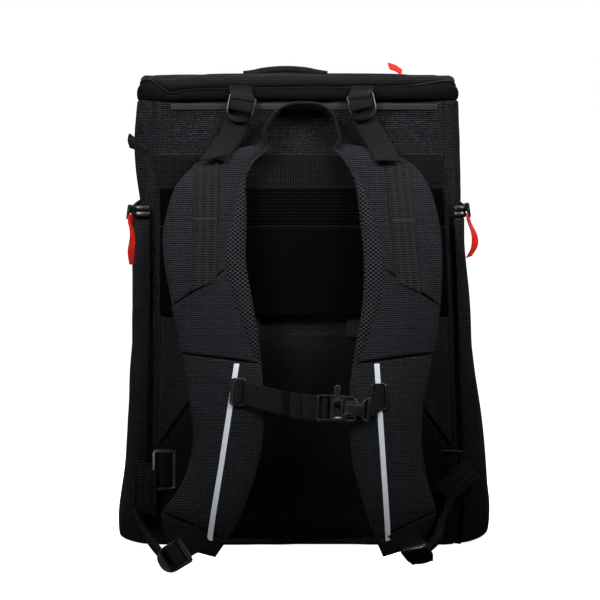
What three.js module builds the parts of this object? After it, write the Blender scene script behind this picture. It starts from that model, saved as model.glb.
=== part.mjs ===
// A tall boxy gear backpack with its harness side towards -Y. Millimetres, +Z up.
// The origin lies on the flat base. X is positive to the right of a viewer who faces the harness.

import * as THREE from "three";

// Clearance between pieces that touch, and the usual thickness of webbing
const GAP = 0.3;
const WEBBING = { width: 25, thick: 1.8 };

// The body is an open-topped tub of padded cloth. Its harness face is flat at y = -front.
const BODY = { height: 474, front: 126, back: 136, wall: 3, seam: 160, side: 176, dip: 4, roll: 22, corner: 34 };
// up: share of height; seam and side: shares of the half widths, left then right; back: share of back
const BODY_ROWS = [
  { up: 0.0, seamL: 1.015, seamR: 1.035, sideL: 0.965, sideR: 0.99, back: 1.06 },
  { up: 0.05, seamL: 1.015, seamR: 1.05, sideL: 0.98, sideR: 1.005, back: 1.075 },
  { up: 0.24, seamL: 1.01, seamR: 1.035, sideL: 0.975, sideR: 0.99, back: 1.08 },
  { up: 0.5, seamL: 0.98, seamR: 1.0, sideL: 0.97, sideR: 0.965, back: 1.06 },
  { up: 0.72, seamL: 0.975, seamR: 0.97, sideL: 0.972, sideR: 0.945, back: 1.03 },
  { up: 0.765, seamL: 0.975, seamR: 0.965, sideL: 0.985, sideR: 0.95, back: 1.02 },
  { up: 0.83, seamL: 0.98, seamR: 0.955, sideL: 1.02, sideR: 0.953, back: 1.01 },
  { up: 0.91, seamL: 0.985, seamR: 0.94, sideL: 1.023, sideR: 0.95, back: 1.0 },
  { up: 0.965, seamL: 0.985, seamR: 0.93, sideL: 1.005, sideR: 0.94, back: 0.985 },
  { up: 1.0, seamL: 0.985, seamR: 0.925, sideL: 0.995, sideR: 0.932, back: 0.975 },
];

// The rolled rim under the lid, and the lid with its own padded edge and low dome
const RIM = { height: 11.5, width: 13, proud: 2.5, dip: 0.6 };
const LID = { edge: 15.5, wall: 4, dome: 5, proud: 3, roll: 8, skirt: 12 };
// The lid's padded edge. out: share of proud; up: share of the edge's height
const LID_EDGE_ROWS = [
  { out: 0.3, up: 0.0 },
  { out: 1.0, up: 0.3 },
  { out: 1.0, up: 0.62 },
  { out: 0.2, up: 0.9 },
];

// Flat pieces sewn on the harness face. drop: from the body's rim to the piece; tall: its own height;
// below: how far it lies under the piece above it
const STRIP = { drop: 2, tall: 9.5, left: 139, right: 141, thick: 0.8 };
const BAND = { drop: 56, tall: 34, thick: 1.8 };
const HEM = { below: 0.6, tall: 39.4, thick: 2.2 };
const SLEEVE = { below: 2, tall: 93, stand: 7.2, wall: 2, flange: 12 };
const PAD = { below: 16.5, low: 9.5, edge: 4, crown: 7 };
// across: share of the panel's half width; up: share of the pad's height where its arched edge runs
const ARCH_ROWS = [
  { across: 0.0, up: 1.0 },
  { across: 0.28, up: 0.975 },
  { across: 0.52, up: 0.9 },
  { across: 0.76, up: 0.68 },
  { across: 0.985, up: 0.44 },
];
const WING = { below: 1.5, inner: 0.3, thick: 4 };
const PIPING = { low: 1.2, high: 8.4, depth: 6 };

// Side pockets: bulged cloth shells below a zip, open at the top edge that the zip closes
const POCKET = { low: 1.5, high: 351, wall: 2.4, side: 204, back: 100 };
// up: share of the pocket's height; out: share of the bulge beyond the body's side, left then right
const POCKET_ROWS = [
  { up: 0.0, outL: 0.0, outR: 0.0 },
  { up: 0.0, outL: 0.86, outR: 0.92 },
  { up: 0.014, outL: 0.87, outR: 0.94 },
  { up: 0.12, outL: 0.73, outR: 0.91 },
  { up: 0.26, outL: 0.56, outR: 0.75 },
  { up: 0.42, outL: 0.47, outR: 0.58 },
  { up: 0.6, outL: 0.36, outR: 0.36 },
  { up: 0.86, outL: 0.31, outR: 0.15 },
  { up: 1.0, outL: 0.22, outR: 0.08 },
];
// roll: share of the body's corner roll; out: share of the bulge; deep: share of the pocket's length
const POCKET_PLAN = [
  { roll: 0.2, out: 0.0, deep: -0.008 },
  { roll: 0.7, out: 0.05, deep: -0.013 },
  { roll: 1.0, out: 0.25, deep: -0.008 },
  { roll: 1.0, out: 0.6, deep: 0.02 },
  { roll: 1.0, out: 0.86, deep: 0.09 },
  { roll: 1.0, out: 1.0, deep: 0.22 },
  { roll: 1.0, out: 0.98, deep: 0.6 },
  { roll: 1.0, out: 0.8, deep: 0.85 },
  { roll: 1.0, out: 0.4, deep: 0.97 },
  { roll: 1.0, out: 0.0, deep: 1.0 },
];
const ZIP = { above: 1, tall: 13, cover: 2.5, reach: 1.5, crest: 0.14 };
const SLIDER = { length: 11, width: 8, thick: 5, plan: 4 };
const RIBBON = { width: 8.5, thick: 0.9, drop: 52 };
// drop: share of the ribbon's drop; plan: place along the pocket's plan rows; off: from its cloth
const RIBBON_ROWS = [
  { drop: -0.06, plan: 3.3, off: 5.2 },
  { drop: 0.15, plan: 3.1, off: 4.4 },
  { drop: 0.45, plan: 2.9, off: 3.6 },
  { drop: 0.75, plan: 2.8, off: 3.2 },
  { drop: 1.0, plan: 2.8, off: 3.0 },
];

// Shoulder straps: mid-surface from the panel down to the tip, standing off the harness face
const STRAP = { drop: 43, tip: 13, half: 160, reach: 112, front: 7, lining: 6, edge: 0.45, end: 0.55, rows: 26 };
// down: share of the drop; in and out: the edges as shares of half, left then right; off: share of
// reach; fall: how much lower the outer edge lies, share of reach; mesh: share of the width that the
// lining shows beyond the front cloth
const STRAP_ROWS = [
  { down: 0.0, inL: 0.19, outL: 0.6, inR: 0.2, outR: 0.63, off: 0.075, fall: 0.1, mesh: 0.0 },
  { down: 0.04, inL: 0.31, outL: 0.73, inR: 0.26, outR: 0.74, off: 0.14, fall: 0.08, mesh: 0.02 },
  { down: 0.09, inL: 0.37, outL: 0.82, inR: 0.33, outR: 0.815, off: 0.2, fall: 0.04, mesh: 0.05 },
  { down: 0.155, inL: 0.366, outL: 0.88, inR: 0.36, outR: 0.868, off: 0.27, fall: 0.02, mesh: 0.1 },
  { down: 0.23, inL: 0.368, outL: 0.912, inR: 0.38, outR: 0.898, off: 0.34, fall: 0.0, mesh: 0.19 },
  { down: 0.29, inL: 0.37, outL: 0.9, inR: 0.393, outR: 0.903, off: 0.4, fall: 0.0, mesh: 0.24 },
  { down: 0.38, inL: 0.33, outL: 0.857, inR: 0.387, outR: 0.892, off: 0.49, fall: 0.0, mesh: 0.21 },
  { down: 0.47, inL: 0.288, outL: 0.812, inR: 0.35, outR: 0.862, off: 0.58, fall: 0.0, mesh: 0.11 },
  { down: 0.56, inL: 0.263, outL: 0.755, inR: 0.31, outR: 0.81, off: 0.67, fall: 0.0, mesh: 0.02 },
  { down: 0.64, inL: 0.254, outL: 0.723, inR: 0.295, outR: 0.772, off: 0.75, fall: 0.0, mesh: 0.0 },
  { down: 0.715, inL: 0.258, outL: 0.705, inR: 0.3, outR: 0.76, off: 0.82, fall: 0.0, mesh: 0.0 },
  { down: 0.79, inL: 0.297, outL: 0.74, inR: 0.325, outR: 0.778, off: 0.89, fall: 0.0, mesh: 0.0 },
  { down: 0.86, inL: 0.356, outL: 0.81, inR: 0.375, outR: 0.817, off: 0.95, fall: -0.05, mesh: 0.0 },
  { down: 0.93, inL: 0.44, outL: 0.905, inR: 0.435, outR: 0.845, off: 0.99, fall: -0.12, mesh: 0.0 },
  { down: 1.0, inL: 0.56, outL: 0.8, inR: 0.51, outR: 0.74, off: 1.0, fall: -0.1, mesh: 0.0 },
];
// Seams between the strap's cloth pieces: down at the inner and the outer edge
const STRAP_SEAMS = [
  { inner: 0.0, outer: 0.0 },
  { inner: 0.31, outer: 0.4 },
  { inner: 0.538, outer: 0.514 },
  { inner: 0.96, outer: 0.92 },
  { inner: 1.0, outer: 1.0 },
];
const STRAP_NAMES = ["upper", "middle", "lower", "end"];
// The strap's thickness, as a share of the full one
const TAPER_ROWS = [
  { down: 0.0, thick: 0.75 },
  { down: 0.06, thick: 1.0 },
  { down: 0.9, thick: 1.0 },
  { down: 1.0, thick: STRAP.end },
];
const SEAM_GAP = 0.0012;

// Webbing on the upper straps, and the light strips on the lower ones: x at the top and the bottom
const DAISY = { top: 0.055, topL: -100.5, lowL: -101.5, topR: 97, lowR: 109 };
const GLOW = { top: 0.54, low: 0.942, topL: -68, lowL: -96, topR: 75.5, lowR: 85.5, width: 6, thick: 0.7 };

// Load lifters: a short tab over the rim, a ladder-lock on it, and webbing down to the strap
const LIFTER = {
  left: -64.5, right: 63.5, tilt: 12, lean: 12, stand: 6.4, end: 0.045, hang: 9, bow: 6.5, turnTop: 6, turnLow: 22,
};
const LOCK = { width: 32, height: 28, bar: 3.6, thick: 3.6, slot: 3.9 };

// The haul loop between the straps and the grab handle on the lid
const HAUL = { left: -37, right: 40, drop: 36, rise: 35, width: 22, thick: 3.2 };
// The haul loop's arch, as shares of its width and rise
const HAUL_ROWS = [
  { across: -0.06, up: 0.0 },
  { across: 0.0, up: 0.33 },
  { across: 0.18, up: 0.74 },
  { across: 0.52, up: 1.0 },
  { across: 0.82, up: 0.84 },
  { across: 0.95, up: 0.6 },
  { across: 1.0, up: 0.0 },
];
const HANDLE = { left: -68, right: 30, y: 12, width: 26, thick: 3.4, rise: 11.5, foot: 14 };

// Chest strap across the lower straps
const CHEST = {
  height: 177, lift: 2.2, sag: 3.5, width: 25, leftLoop: -65, rightLoop: 78.8,
  loopThick: 3, loopWide: 17, loopHigh: 28, loopBar: 3,
};
const KEEPER = { x: -17.5, wide: 8, in: 0.8, out: 2.2 };
const CLASP = {
  left: 14.5, mouth: 45, right: 69, height: 28, thick: 9, throat: 17, deep: 19, post: 15, postWide: 10, postHigh: 5,
  bar: 5, slot: 3.9, end: 3,
};

// Slotted plates at the lower panel corners
const PLATE = { left: 144, right: 158, width: 28, height: 46, rim: 5, thick: 3.6, slot: 3.9, z: 82 };
const LOWER = { beyond: 18, roll: 55, lean: 25, across: [0.57, 0, 0.82], inward: 8, forward: 8.6, up: 7 };
const FOLD = { width: 13, thick: 3.2 };
// Webbing from each lower corner to the lock at the strap's end. Tab points are x, y, z. Fold points
// are x, the share of the way forward from the tab's end to the lock, and z. The lock has x and z.
const LOWER_ROUTES = {
  left: {
    tab: [[-163.5, -132.7, 89], [-163.5, -132.7, 72], [-163.3, -132.9, 59], [-162, -137.5, 45]],
    tabAcross: [1, 0, 0],
    fold: [[-161.5, 0.015, 45], [-156, 0.232, 31], [-150, 0.485, 24], [-143, 0.738, 20], [-139, 0.89, 19]],
    foldAcross: [0.9, 0, -0.4],
    lock: [-131, 20.5],
  },
  right: {
    tab: [[183, -138, 90], [172, -142.3, 75], [158, -147.8, 57]],
    tabAcross: [0.75, 0, -0.66],
    fold: [[155.4, 0.013, 51.3], [149, 0.205, 37], [142, 0.482, 27], [134, 0.741, 21], [129, 0.88, 19]],
    foldAcross: [0.9, 0, 0.4],
    lock: [121, 20.5],
  },
};

// Small pieces: zip and pull on the lid, and the cloth tab on the left corner
const LIDZIP = { left: -104, right: 112, y: -58, width: 9, thick: 1.6, pull: 100 };
// The red pull on the lid. along: from its foot; forward and up: in millimetres
const PULL_ROWS = [
  { along: 6, forward: 0, up: 1 },
  { along: 1, forward: 0, up: 2.5 },
  { along: -6, forward: 1, up: 7.5 },
];
const TAB = { drop: 34, tall: 19, reach: 4.5, wall: 2, length: 16 };

const PAINT = {
  cloth: { color: 0x1d1e21, roughness: 0.82, metalness: 0 },
  panel: { color: 0x191a1c, roughness: 0.88, metalness: 0 },
  mesh: { color: 0x121213, roughness: 0.95, metalness: 0 },
  webbing: { color: 0x1b1a19, roughness: 0.7, metalness: 0 },
  plastic: { color: 0x111113, roughness: 0.35, metalness: 0 },
  glow: { color: 0xa9adb3, roughness: 0.4, metalness: 0 },
  smooth: { color: 0x3a3a3e, roughness: 0.5, metalness: 0 },
  red: { color: 0xe02b1c, roughness: 0.65, metalness: 0 },
  zip: { color: 0x0e0e10, roughness: 0.4, metalness: 0.1 },
};

// Both sides, as the tables' letter, the nodes' word and the sign of x
const SIDES = [["L", "left", -1], ["R", "right", 1]];

const bag = new THREE.Group();

/** Adds a named mesh to the bag, or to the given group. */
function place(name, geometry, paint, parent = bag) {
  const mesh = new THREE.Mesh(geometry, new THREE.MeshStandardMaterial(PAINT[paint]));
  mesh.name = name;
  parent.add(mesh);
  return mesh;
}

/** Linear blend of two numbers. */
const mix = (a, b, t) => a + (b - a) * t;

/** Value of a column of a table, read by linear interpolation at the given key. */
function read(rows, key, at, column) {
  let i = 0;
  while (i < rows.length - 2 && rows[i + 1][key] < at) i += 1;
  const low = rows[i];
  const high = rows[i + 1];
  const t = THREE.MathUtils.clamp((at - low[key]) / (high[key] - low[key]), 0, 1);
  return mix(low[column], high[column], t);
}

/** Closed geometry from points and triangles, turned so that its faces point outwards. */
function solid(points, faces) {
  let volume = 0;
  const a = new THREE.Vector3();
  const b = new THREE.Vector3();
  const c = new THREE.Vector3();
  for (let i = 0; i < faces.length; i += 3) {
    a.fromArray(points[faces[i]]);
    b.fromArray(points[faces[i + 1]]);
    c.fromArray(points[faces[i + 2]]);
    volume += a.dot(b.cross(c));
  }
  if (volume < 0) faces.reverse();
  const geometry = new THREE.BufferGeometry();
  geometry.setAttribute("position", new THREE.Float32BufferAttribute(points.flat(), 3));
  geometry.setIndex(faces);
  geometry.computeVertexNormals();
  return geometry;
}

/** Body between two grids of points, front(u, v) and back(u, v), with u and v from the two lists. */
function slab(us, vs, front, back) {
  const points = [];
  const faces = [];
  for (const side of [front, back]) {
    for (const v of vs) {
      for (const u of us) points.push(side(u, v));
    }
  }
  const columns = us.length;
  const rows = vs.length;
  const at = (i, j, side) => (side * rows + j) * columns + i;
  const quad = (p, q, r, s) => faces.push(p, q, r, p, r, s);
  for (let j = 0; j < rows - 1; j += 1) {
    for (let i = 0; i < columns - 1; i += 1) {
      quad(at(i, j, 0), at(i + 1, j, 0), at(i + 1, j + 1, 0), at(i, j + 1, 0));
      quad(at(i, j, 1), at(i, j + 1, 1), at(i + 1, j + 1, 1), at(i + 1, j, 1));
    }
  }
  for (let i = 0; i < columns - 1; i += 1) {
    quad(at(i + 1, 0, 0), at(i, 0, 0), at(i, 0, 1), at(i + 1, 0, 1));
    quad(at(i, rows - 1, 0), at(i + 1, rows - 1, 0), at(i + 1, rows - 1, 1), at(i, rows - 1, 1));
  }
  for (let j = 0; j < rows - 1; j += 1) {
    quad(at(0, j, 0), at(0, j + 1, 0), at(0, j + 1, 1), at(0, j, 1));
    quad(at(columns - 1, j + 1, 0), at(columns - 1, j, 0), at(columns - 1, j, 1), at(columns - 1, j + 1, 1));
  }
  return solid(points, faces);
}

/** Body through rings of points. The end rings are capped, or joined where the chain is a loop. */
function loft(rings, looped = false) {
  const count = rings[0].length;
  const points = rings.flat();
  const faces = [];
  const joints = looped ? rings.length : rings.length - 1;
  for (let j = 0; j < joints; j += 1) {
    const next = ((j + 1) % rings.length) * count;
    for (let i = 0; i < count; i += 1) {
      const k = (i + 1) % count;
      faces.push(j * count + i, j * count + k, next + k, j * count + i, next + k, next + i);
    }
  }
  if (!looped) {
    for (const [ring, flip] of [[0, true], [rings.length - 1, false]]) {
      const middle = points.length;
      points.push([0, 1, 2].map((axis) => rings[ring].reduce((sum, p) => sum + p[axis], 0) / count));
      for (let i = 0; i < count; i += 1) {
        const a = ring * count + i;
        const b = ring * count + ((i + 1) % count);
        faces.push(...(flip ? [middle, b, a] : [middle, a, b]));
      }
    }
  }
  return solid(points, faces);
}

/** Evenly spaced numbers from 0 to 1, or between two others. */
const steps = (count, from = 0, to = 1) => Array.from({ length: count + 1 }, (_, i) => mix(from, to, i / count));

/** Flat strip of cloth along a curve. across(v) is the direction of its width at share v. */
function strip(curve, across, width, thick, count) {
  const point = (u, v, side) => {
    const middle = curve.getPoint(v);
    const wide = across(v).normalize();
    const normal = curve.getTangent(v).cross(wide).normalize();
    return middle.addScaledVector(wide, (u - 0.5) * width).addScaledVector(normal, side * thick).toArray();
  };
  return slab([0, 1], steps(count), (u, v) => point(u, v, 0.5), (u, v) => point(u, v, -0.5));
}

/** Extruded outline, its thickness centred on the XY plane. */
function plate(shape, thick, curveSegments = 6) {
  const geometry = new THREE.ExtrudeGeometry(shape, { depth: thick, bevelEnabled: false, curveSegments });
  return geometry.translate(0, 0, -thick / 2);
}

/** Rectangle with rounded corners, as a shape or as a hole in one. */
function roundedBox(path, x, y, width, height, radius) {
  path.moveTo(x - width / 2 + radius, y - height / 2);
  path.lineTo(x + width / 2 - radius, y - height / 2);
  path.absarc(x + width / 2 - radius, y - height / 2 + radius, radius, -Math.PI / 2, 0, false);
  path.absarc(x + width / 2 - radius, y + height / 2 - radius, radius, 0, Math.PI / 2, false);
  path.absarc(x - width / 2 + radius, y + height / 2 - radius, radius, Math.PI / 2, Math.PI, false);
  path.absarc(x - width / 2 + radius, y - height / 2 + radius, radius, Math.PI, Math.PI * 1.5, false);
  return path;
}

// Main body

/** The body's section at a height: seams, sides and back in millimetres. */
function bodyAt(z) {
  const up = z / BODY.height;
  const column = (name) => read(BODY_ROWS, "up", up, name);
  return {
    seam: { L: column("seamL") * BODY.seam, R: column("seamR") * BODY.seam },
    side: { L: column("sideL") * BODY.side, R: column("sideR") * BODY.side },
    back: column("back") * BODY.back,
  };
}

/** One half of the body's outline, from the middle of the harness face to the middle of the back. */
function halfOutline(seam, side, back, inset, dip) {
  const front = -BODY.front + inset;
  const wide = side - seam;
  const points = [[0, front], [seam / 2, front], [seam - BODY.dip, front], [seam, front + dip]];
  for (const angle of [72, 48, 26, 0]) {
    const turn = THREE.MathUtils.degToRad(angle);
    const out = (wide - inset) * Math.cos(turn) ** 0.77;
    const forward = (BODY.roll - inset) * Math.sin(turn) ** 0.77;
    points.push([seam + out, -BODY.front + BODY.roll - forward]);
  }
  const round = BODY.corner - inset;
  points.push([side - inset, 0], [side - inset, back - BODY.corner]);
  for (const angle of [30, 60, 90]) {
    const turn = THREE.MathUtils.degToRad(angle);
    points.push([
      side - BODY.corner + round * Math.cos(turn),
      back - BODY.corner + round * Math.sin(turn),
    ]);
  }
  points.push([0, back - inset]);
  return points;
}

/** Whole ring of the body's outline at height z, moved inwards by inset. */
function bodyRing(z, inset, height = z, dip = BODY.dip) {
  const at = bodyAt(z);
  const right = halfOutline(at.seam.R, at.side.R, at.back, inset, dip);
  const left = halfOutline(at.seam.L, at.side.L, at.back, inset, dip).map(([x, y]) => [-x, y]);
  return [...right, ...left.slice(1, -1).reverse()].map(([x, y]) => [x, y, height]);
}

const bodyHeights = BODY_ROWS.map((row) => row.up * BODY.height);
const outerRings = bodyHeights.map((z) => bodyRing(z, 0));

// The room inside has upright walls that clear the narrowest section
const narrowest = (column) => Math.min(...BODY_ROWS.map((row) => row[column]));
const roomHalf = (side) => halfOutline(narrowest(`seam${side}`) * BODY.seam, narrowest(`side${side}`) * BODY.side,
  narrowest("back") * BODY.back, BODY.wall, 0);
const roomLeft = roomHalf("L").map(([x, y]) => [-x, y]);
const roomPlan = [...roomHalf("R"), ...roomLeft.slice(1, -1).reverse()];
const roomRings = [BODY.height, BODY.wall].map((z) => roomPlan.map(([x, y]) => [x, y, z]));
place("main_body", loft([...outerRings, ...roomRings]), "cloth");

// Rim and lid

/** Ring on the rim's plan at a height, moved outwards by out. */
const rimRing = (out, z) => bodyRing(BODY.height, -out, z, RIM.dip);
const rimLow = BODY.height + GAP;
const rimHigh = rimLow + RIM.height;
const rimSection = steps(7).slice(0, -1).map((share) => {
  const turn = share * Math.PI * 2;
  return {
    out: RIM.proud - RIM.width / 2 + (RIM.width / 2) * Math.cos(turn),
    z: mix(rimLow, rimHigh, 0.5 + 0.5 * Math.sin(turn)),
  };
});
place("rim_roll", loft(rimSection.map(({ out, z }) => rimRing(out, z)), true), "cloth");

const lidLow = rimHigh + GAP;
const lidHigh = lidLow + LID.edge;

/** Ring of the lid's dome: the plan drawn in by share, raised towards the middle. */
function lidRing(out, z, share = 1, dome = 0) {
  return rimRing(out, z).map(([x, y, height]) => [x * share, y * share, height + dome]);
}
const lidHalf = Math.min(bodyAt(BODY.height).side.L, bodyAt(BODY.height).side.R);
const lidInset = 1 - LID.roll / lidHalf;
const lidUnder = lidHigh - LID.wall;

// The dome's height at shares of the lid's plan, from the middle to its padded edge
const domeRows = [
  { share: 0.2, up: 1 },
  { share: 0.5, up: 0.85 },
  { share: 0.8, up: 0.45 },
  { share: lidInset, up: 0 },
];
const lidRings = [
  lidRing(0, lidUnder, 0.5, LID.dome * 0.75),
  lidRing(-LID.wall, lidUnder, 0.93),
  lidRing(-LID.skirt, lidLow + LID.wall),
  lidRing(-LID.skirt, lidLow),
  ...LID_EDGE_ROWS.map((row) => lidRing(LID.proud * row.out, mix(lidLow, lidHigh, row.up))),
  ...domeRows.toReversed().map((row) => lidRing(0, lidHigh, row.share, LID.dome * row.up)),
];
place("lid", loft(lidRings), "cloth");

/** Height of the lid's top at a place on its plan. */
function lidTop(x, y) {
  const at = bodyAt(BODY.height);
  const acrossShare = Math.abs(x) / (x < 0 ? at.side.L : at.side.R);
  const share = Math.max(acrossShare, Math.abs(y) / (y < 0 ? BODY.front : at.back));
  return lidHigh + LID.dome * read(domeRows, "share", share, "up");
}

// Webbing grab handle on the lid: flat feet and a low arch between them
const handleMid = (HANDLE.left + HANDLE.right) / 2;
const handleFoot = (x) => lidTop(x, HANDLE.y) + GAP + HANDLE.thick / 2 + 0.4;
const handleCurve = new THREE.CatmullRomCurve3([
  new THREE.Vector3(HANDLE.left, HANDLE.y, handleFoot(HANDLE.left)),
  new THREE.Vector3(HANDLE.left + HANDLE.foot, HANDLE.y, handleFoot(HANDLE.left + HANDLE.foot)),
  new THREE.Vector3(mix(HANDLE.left, handleMid, 0.55), HANDLE.y, lidHigh + LID.dome + HANDLE.rise * 0.8),
  new THREE.Vector3(handleMid, HANDLE.y, lidHigh + LID.dome + HANDLE.rise),
  new THREE.Vector3(mix(HANDLE.right, handleMid, 0.55), HANDLE.y, lidHigh + LID.dome + HANDLE.rise * 0.8),
  new THREE.Vector3(HANDLE.right - HANDLE.foot, HANDLE.y, handleFoot(HANDLE.right - HANDLE.foot)),
  new THREE.Vector3(HANDLE.right, HANDLE.y, handleFoot(HANDLE.right)),
]);
const alongY = () => new THREE.Vector3(0, 1, 0);
const alongX = () => new THREE.Vector3(1, 0, 0);
place("grab_handle", strip(handleCurve, alongY, HANDLE.width, HANDLE.thick, 18), "webbing");

// Zip across the lid, and the red ribbon that stands up from its slider
const zipHeight = (x) => lidTop(x, LIDZIP.y - LIDZIP.width / 2) + GAP + LIDZIP.thick / 2 + 0.35;
const zipPoints = steps(10, LIDZIP.left, LIDZIP.right).map((x) => new THREE.Vector3(x, LIDZIP.y, zipHeight(x)));
const zipCurve = new THREE.CatmullRomCurve3(zipPoints);
place("lid_zip", strip(zipCurve, alongY, LIDZIP.width, LIDZIP.thick, 10), "zip");
const pullFoot = zipHeight(LIDZIP.pull) + LIDZIP.thick / 2 + GAP;
const pullPoints = PULL_ROWS.map((row) => new THREE.Vector3(LIDZIP.pull + row.along, LIDZIP.y - row.forward,
  pullFoot + row.up));
const pullCurve = new THREE.CatmullRomCurve3(pullPoints);
const pullAcross = () => new THREE.Vector3(0.35, 0.9, 0.2);
place("lid_ribbon", strip(pullCurve, pullAcross, RIBBON.width, RIBBON.thick * 1.5, 6), "red");

// Harness face

/** Point on the harness face, standing off it by out. */
const onPanel = (x, z, out) => [x, -BODY.front - out, z];
const panelEdge = (side, z) => bodyAt(z).seam[side] - BODY.dip - 1;

/** Flat piece across the panel between two heights. Its ends follow the panel's seams or are given. */
function acrossPanel(low, high, thick, left, right) {
  const edge = (side, fixed, z) => fixed ?? panelEdge(side, z);
  const point = (u, v, out) => {
    const z = mix(low, high, v);
    return onPanel(mix(-edge("L", left, z), edge("R", right, z), u), z, out);
  };
  return slab(steps(4), [0, 1], (u, v) => point(u, v, GAP + thick), (u, v) => point(u, v, GAP));
}
const stripHigh = BODY.height - STRIP.drop;
const bandHigh = BODY.height - BAND.drop;
const hemHigh = bandHigh - BAND.tall - HEM.below;
const sleeveHigh = hemHigh - HEM.tall - SLEEVE.below;
const sleeveLow = sleeveHigh - SLEEVE.tall;
const wingHigh = sleeveLow - WING.below;
const padHigh = wingHigh - PAD.below;
const smoothStrip = acrossPanel(stripHigh - STRIP.tall, stripHigh, STRIP.thick, STRIP.left, STRIP.right);
place("smooth_strip", smoothStrip, "smooth");
place("ribbed_band", acrossPanel(bandHigh - BAND.tall, bandHigh, BAND.thick), "webbing");
place("stitched_band", acrossPanel(hemHigh - HEM.tall, hemHigh, HEM.thick), "panel");

// Sleeve: a flat sheet that stands off the panel between its two sewn flanges
const sleeveEnds = [0, 0.5, 1, 1.6];
const sleeveStand = [0, 0, SLEEVE.stand, SLEEVE.stand];
function sleevePoint(u, v, out) {
  const z = mix(sleeveLow, sleeveHigh, v);
  const side = u < sleeveEnds.length ? "L" : "R";
  const k = side === "L" ? u : 2 * sleeveEnds.length - 1 - u;
  const x = panelEdge(side, z) - SLEEVE.flange * sleeveEnds[k];
  return onPanel(side === "L" ? -x : x, z, GAP + sleeveStand[k] + out);
}
const sleeveColumns = Array.from({ length: 2 * sleeveEnds.length }, (_, i) => i);
place(
  "sleeve_panel",
  slab(sleeveColumns, [0, 0.5, 1], (u, v) => sleevePoint(u, v, SLEEVE.wall), (u, v) => sleevePoint(u, v, 0)),
  "panel",
);

// Air-mesh pad with an arched top, and the cloth wings on both sides of the arch
const padHeight = padHigh - PAD.low;
const archUp = (share) => read(ARCH_ROWS, "across", Math.abs(share), "up");
const swell = (t) => 1 - Math.abs(2 * t - 1) ** 5;
function padPoint(u, v, thick) {
  const share = mix(-1, 1, u) * ARCH_ROWS.at(-1).across;
  const z = mix(PAD.low, PAD.low + padHeight * archUp(share), v);
  const x = share * panelEdge(share < 0 ? "L" : "R", z);
  return onPanel(x, z, thick ? GAP + PAD.edge + PAD.crown * swell(u) * swell(v) : GAP);
}
const padColumns = [0, 0.04, 0.115, 0.235, 0.36, 0.43, 0.5, 0.57, 0.64, 0.765, 0.885, 0.96, 1];
const padRows = [0, 0.05, 0.16, 0.5, 0.84, 0.95, 1];
const pad = slab(padColumns, padRows, (u, v) => padPoint(u, v, true), (u, v) => padPoint(u, v, false));
place("mesh_pad", pad, "mesh");
for (const [side, name, sign] of SIDES) {
  const wingPoint = (u, v, thick) => {
    const share = mix(WING.inner, ARCH_ROWS.at(-1).across, u);
    const low = PAD.low + padHeight * archUp(share) + 4 * GAP;
    const z = mix(low, wingHigh, v);
    const rim = Math.min(1, 6 * Math.min(v, 1 - v) + 0.45);
    return onPanel(sign * share * panelEdge(side, z), z, thick ? GAP + WING.thick * rim : GAP);
  };
  const wing = slab([0, 0.12, 0.32, 0.5, 0.67, 0.85, 1], [0, 0.1, 0.5, 0.9, 1], (u, v) => wingPoint(u, v, true),
    (u, v) => wingPoint(u, v, false));
  place(`side_wing_${name}`, wing, "cloth");
}

// Rounded piping along the panel's lower edge
function pipingPoint(u, v, thick) {
  const turn = v * Math.PI;
  const middle = (PIPING.low + PIPING.high) / 2;
  const z = middle - (PIPING.high - PIPING.low) / 2 * Math.cos(turn);
  const x = mix(-panelEdge("L", 0), panelEdge("R", 0), u);
  return onPanel(x, z, thick ? GAP + 0.6 + PIPING.depth * Math.sin(turn) : GAP);
}
const piping = slab(steps(6), steps(6), (u, v) => pipingPoint(u, v, true), (u, v) => pipingPoint(u, v, false));
place("bottom_piping", piping, "cloth");

// Side pockets and the zips above them

const pocketLength = BODY.front + POCKET.back;
const planIndex = POCKET_PLAN.map((row, index) => ({ ...row, index }));

/** Point of the pocket's plan at a height, u counting the plan's rows, before it is given its wall. */
function planPoint(side, u, z, bulge) {
  const at = bodyAt(z);
  const roll = at.side[side] - at.seam[side];
  const x = at.seam[side] + roll * read(planIndex, "index", u, "roll") + GAP + POCKET.wall;
  return new THREE.Vector2(
    x + bulge * read(planIndex, "index", u, "out"),
    -BODY.front + pocketLength * read(planIndex, "index", u, "deep"),
  );
}

/** Point of a pocket, inset from its outer face along the plan's normal, never into the body. */
function pocketPoint(side, u, z, bulge, inset) {
  const last = POCKET_PLAN.length - 1;
  const here = planPoint(side, u, z, bulge);
  const before = planPoint(side, Math.max(u - 1, 0), z, bulge);
  const along = planPoint(side, Math.min(u + 1, last), z, bulge).sub(before).normalize();
  if (u === last) along.set(0, 1);
  const sign = side === "L" ? -1 : 1;
  return [sign * (here.x - inset * along.y), here.y + inset * along.x, z];
}
const pocketBulge = (side, share) => (POCKET.side - bodyAt(POCKET.low).side[side]) * share;
const zipLow = POCKET.high + ZIP.above;
const zipFold = (v) => ZIP.cover * Math.sin(2 * Math.PI * v) ** 2;
const zipShares = [0, ZIP.crest, 0.5 - ZIP.crest, 0.5, 0.5 + ZIP.crest, 1 - ZIP.crest, 1];
const pocketRowZ = (row) => mix(POCKET.low, POCKET.high, row.up);
const planColumns = planIndex.map((row) => row.index);

// The pocket's own rows, with one more wherever the body's side bends behind it
const bodyBends = BODY_ROWS.map((row) => (row.up * BODY.height - POCKET.low) / (POCKET.high - POCKET.low));
const pocketRows = [...POCKET_ROWS];
for (const up of bodyBends.filter((share) => share > POCKET_ROWS[2].up && share < 1)) {
  pocketRows.push({ up, outL: read(POCKET_ROWS, "up", up, "outL"), outR: read(POCKET_ROWS, "up", up, "outR") });
}
pocketRows.sort((a, b) => a.up - b.up);

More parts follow.
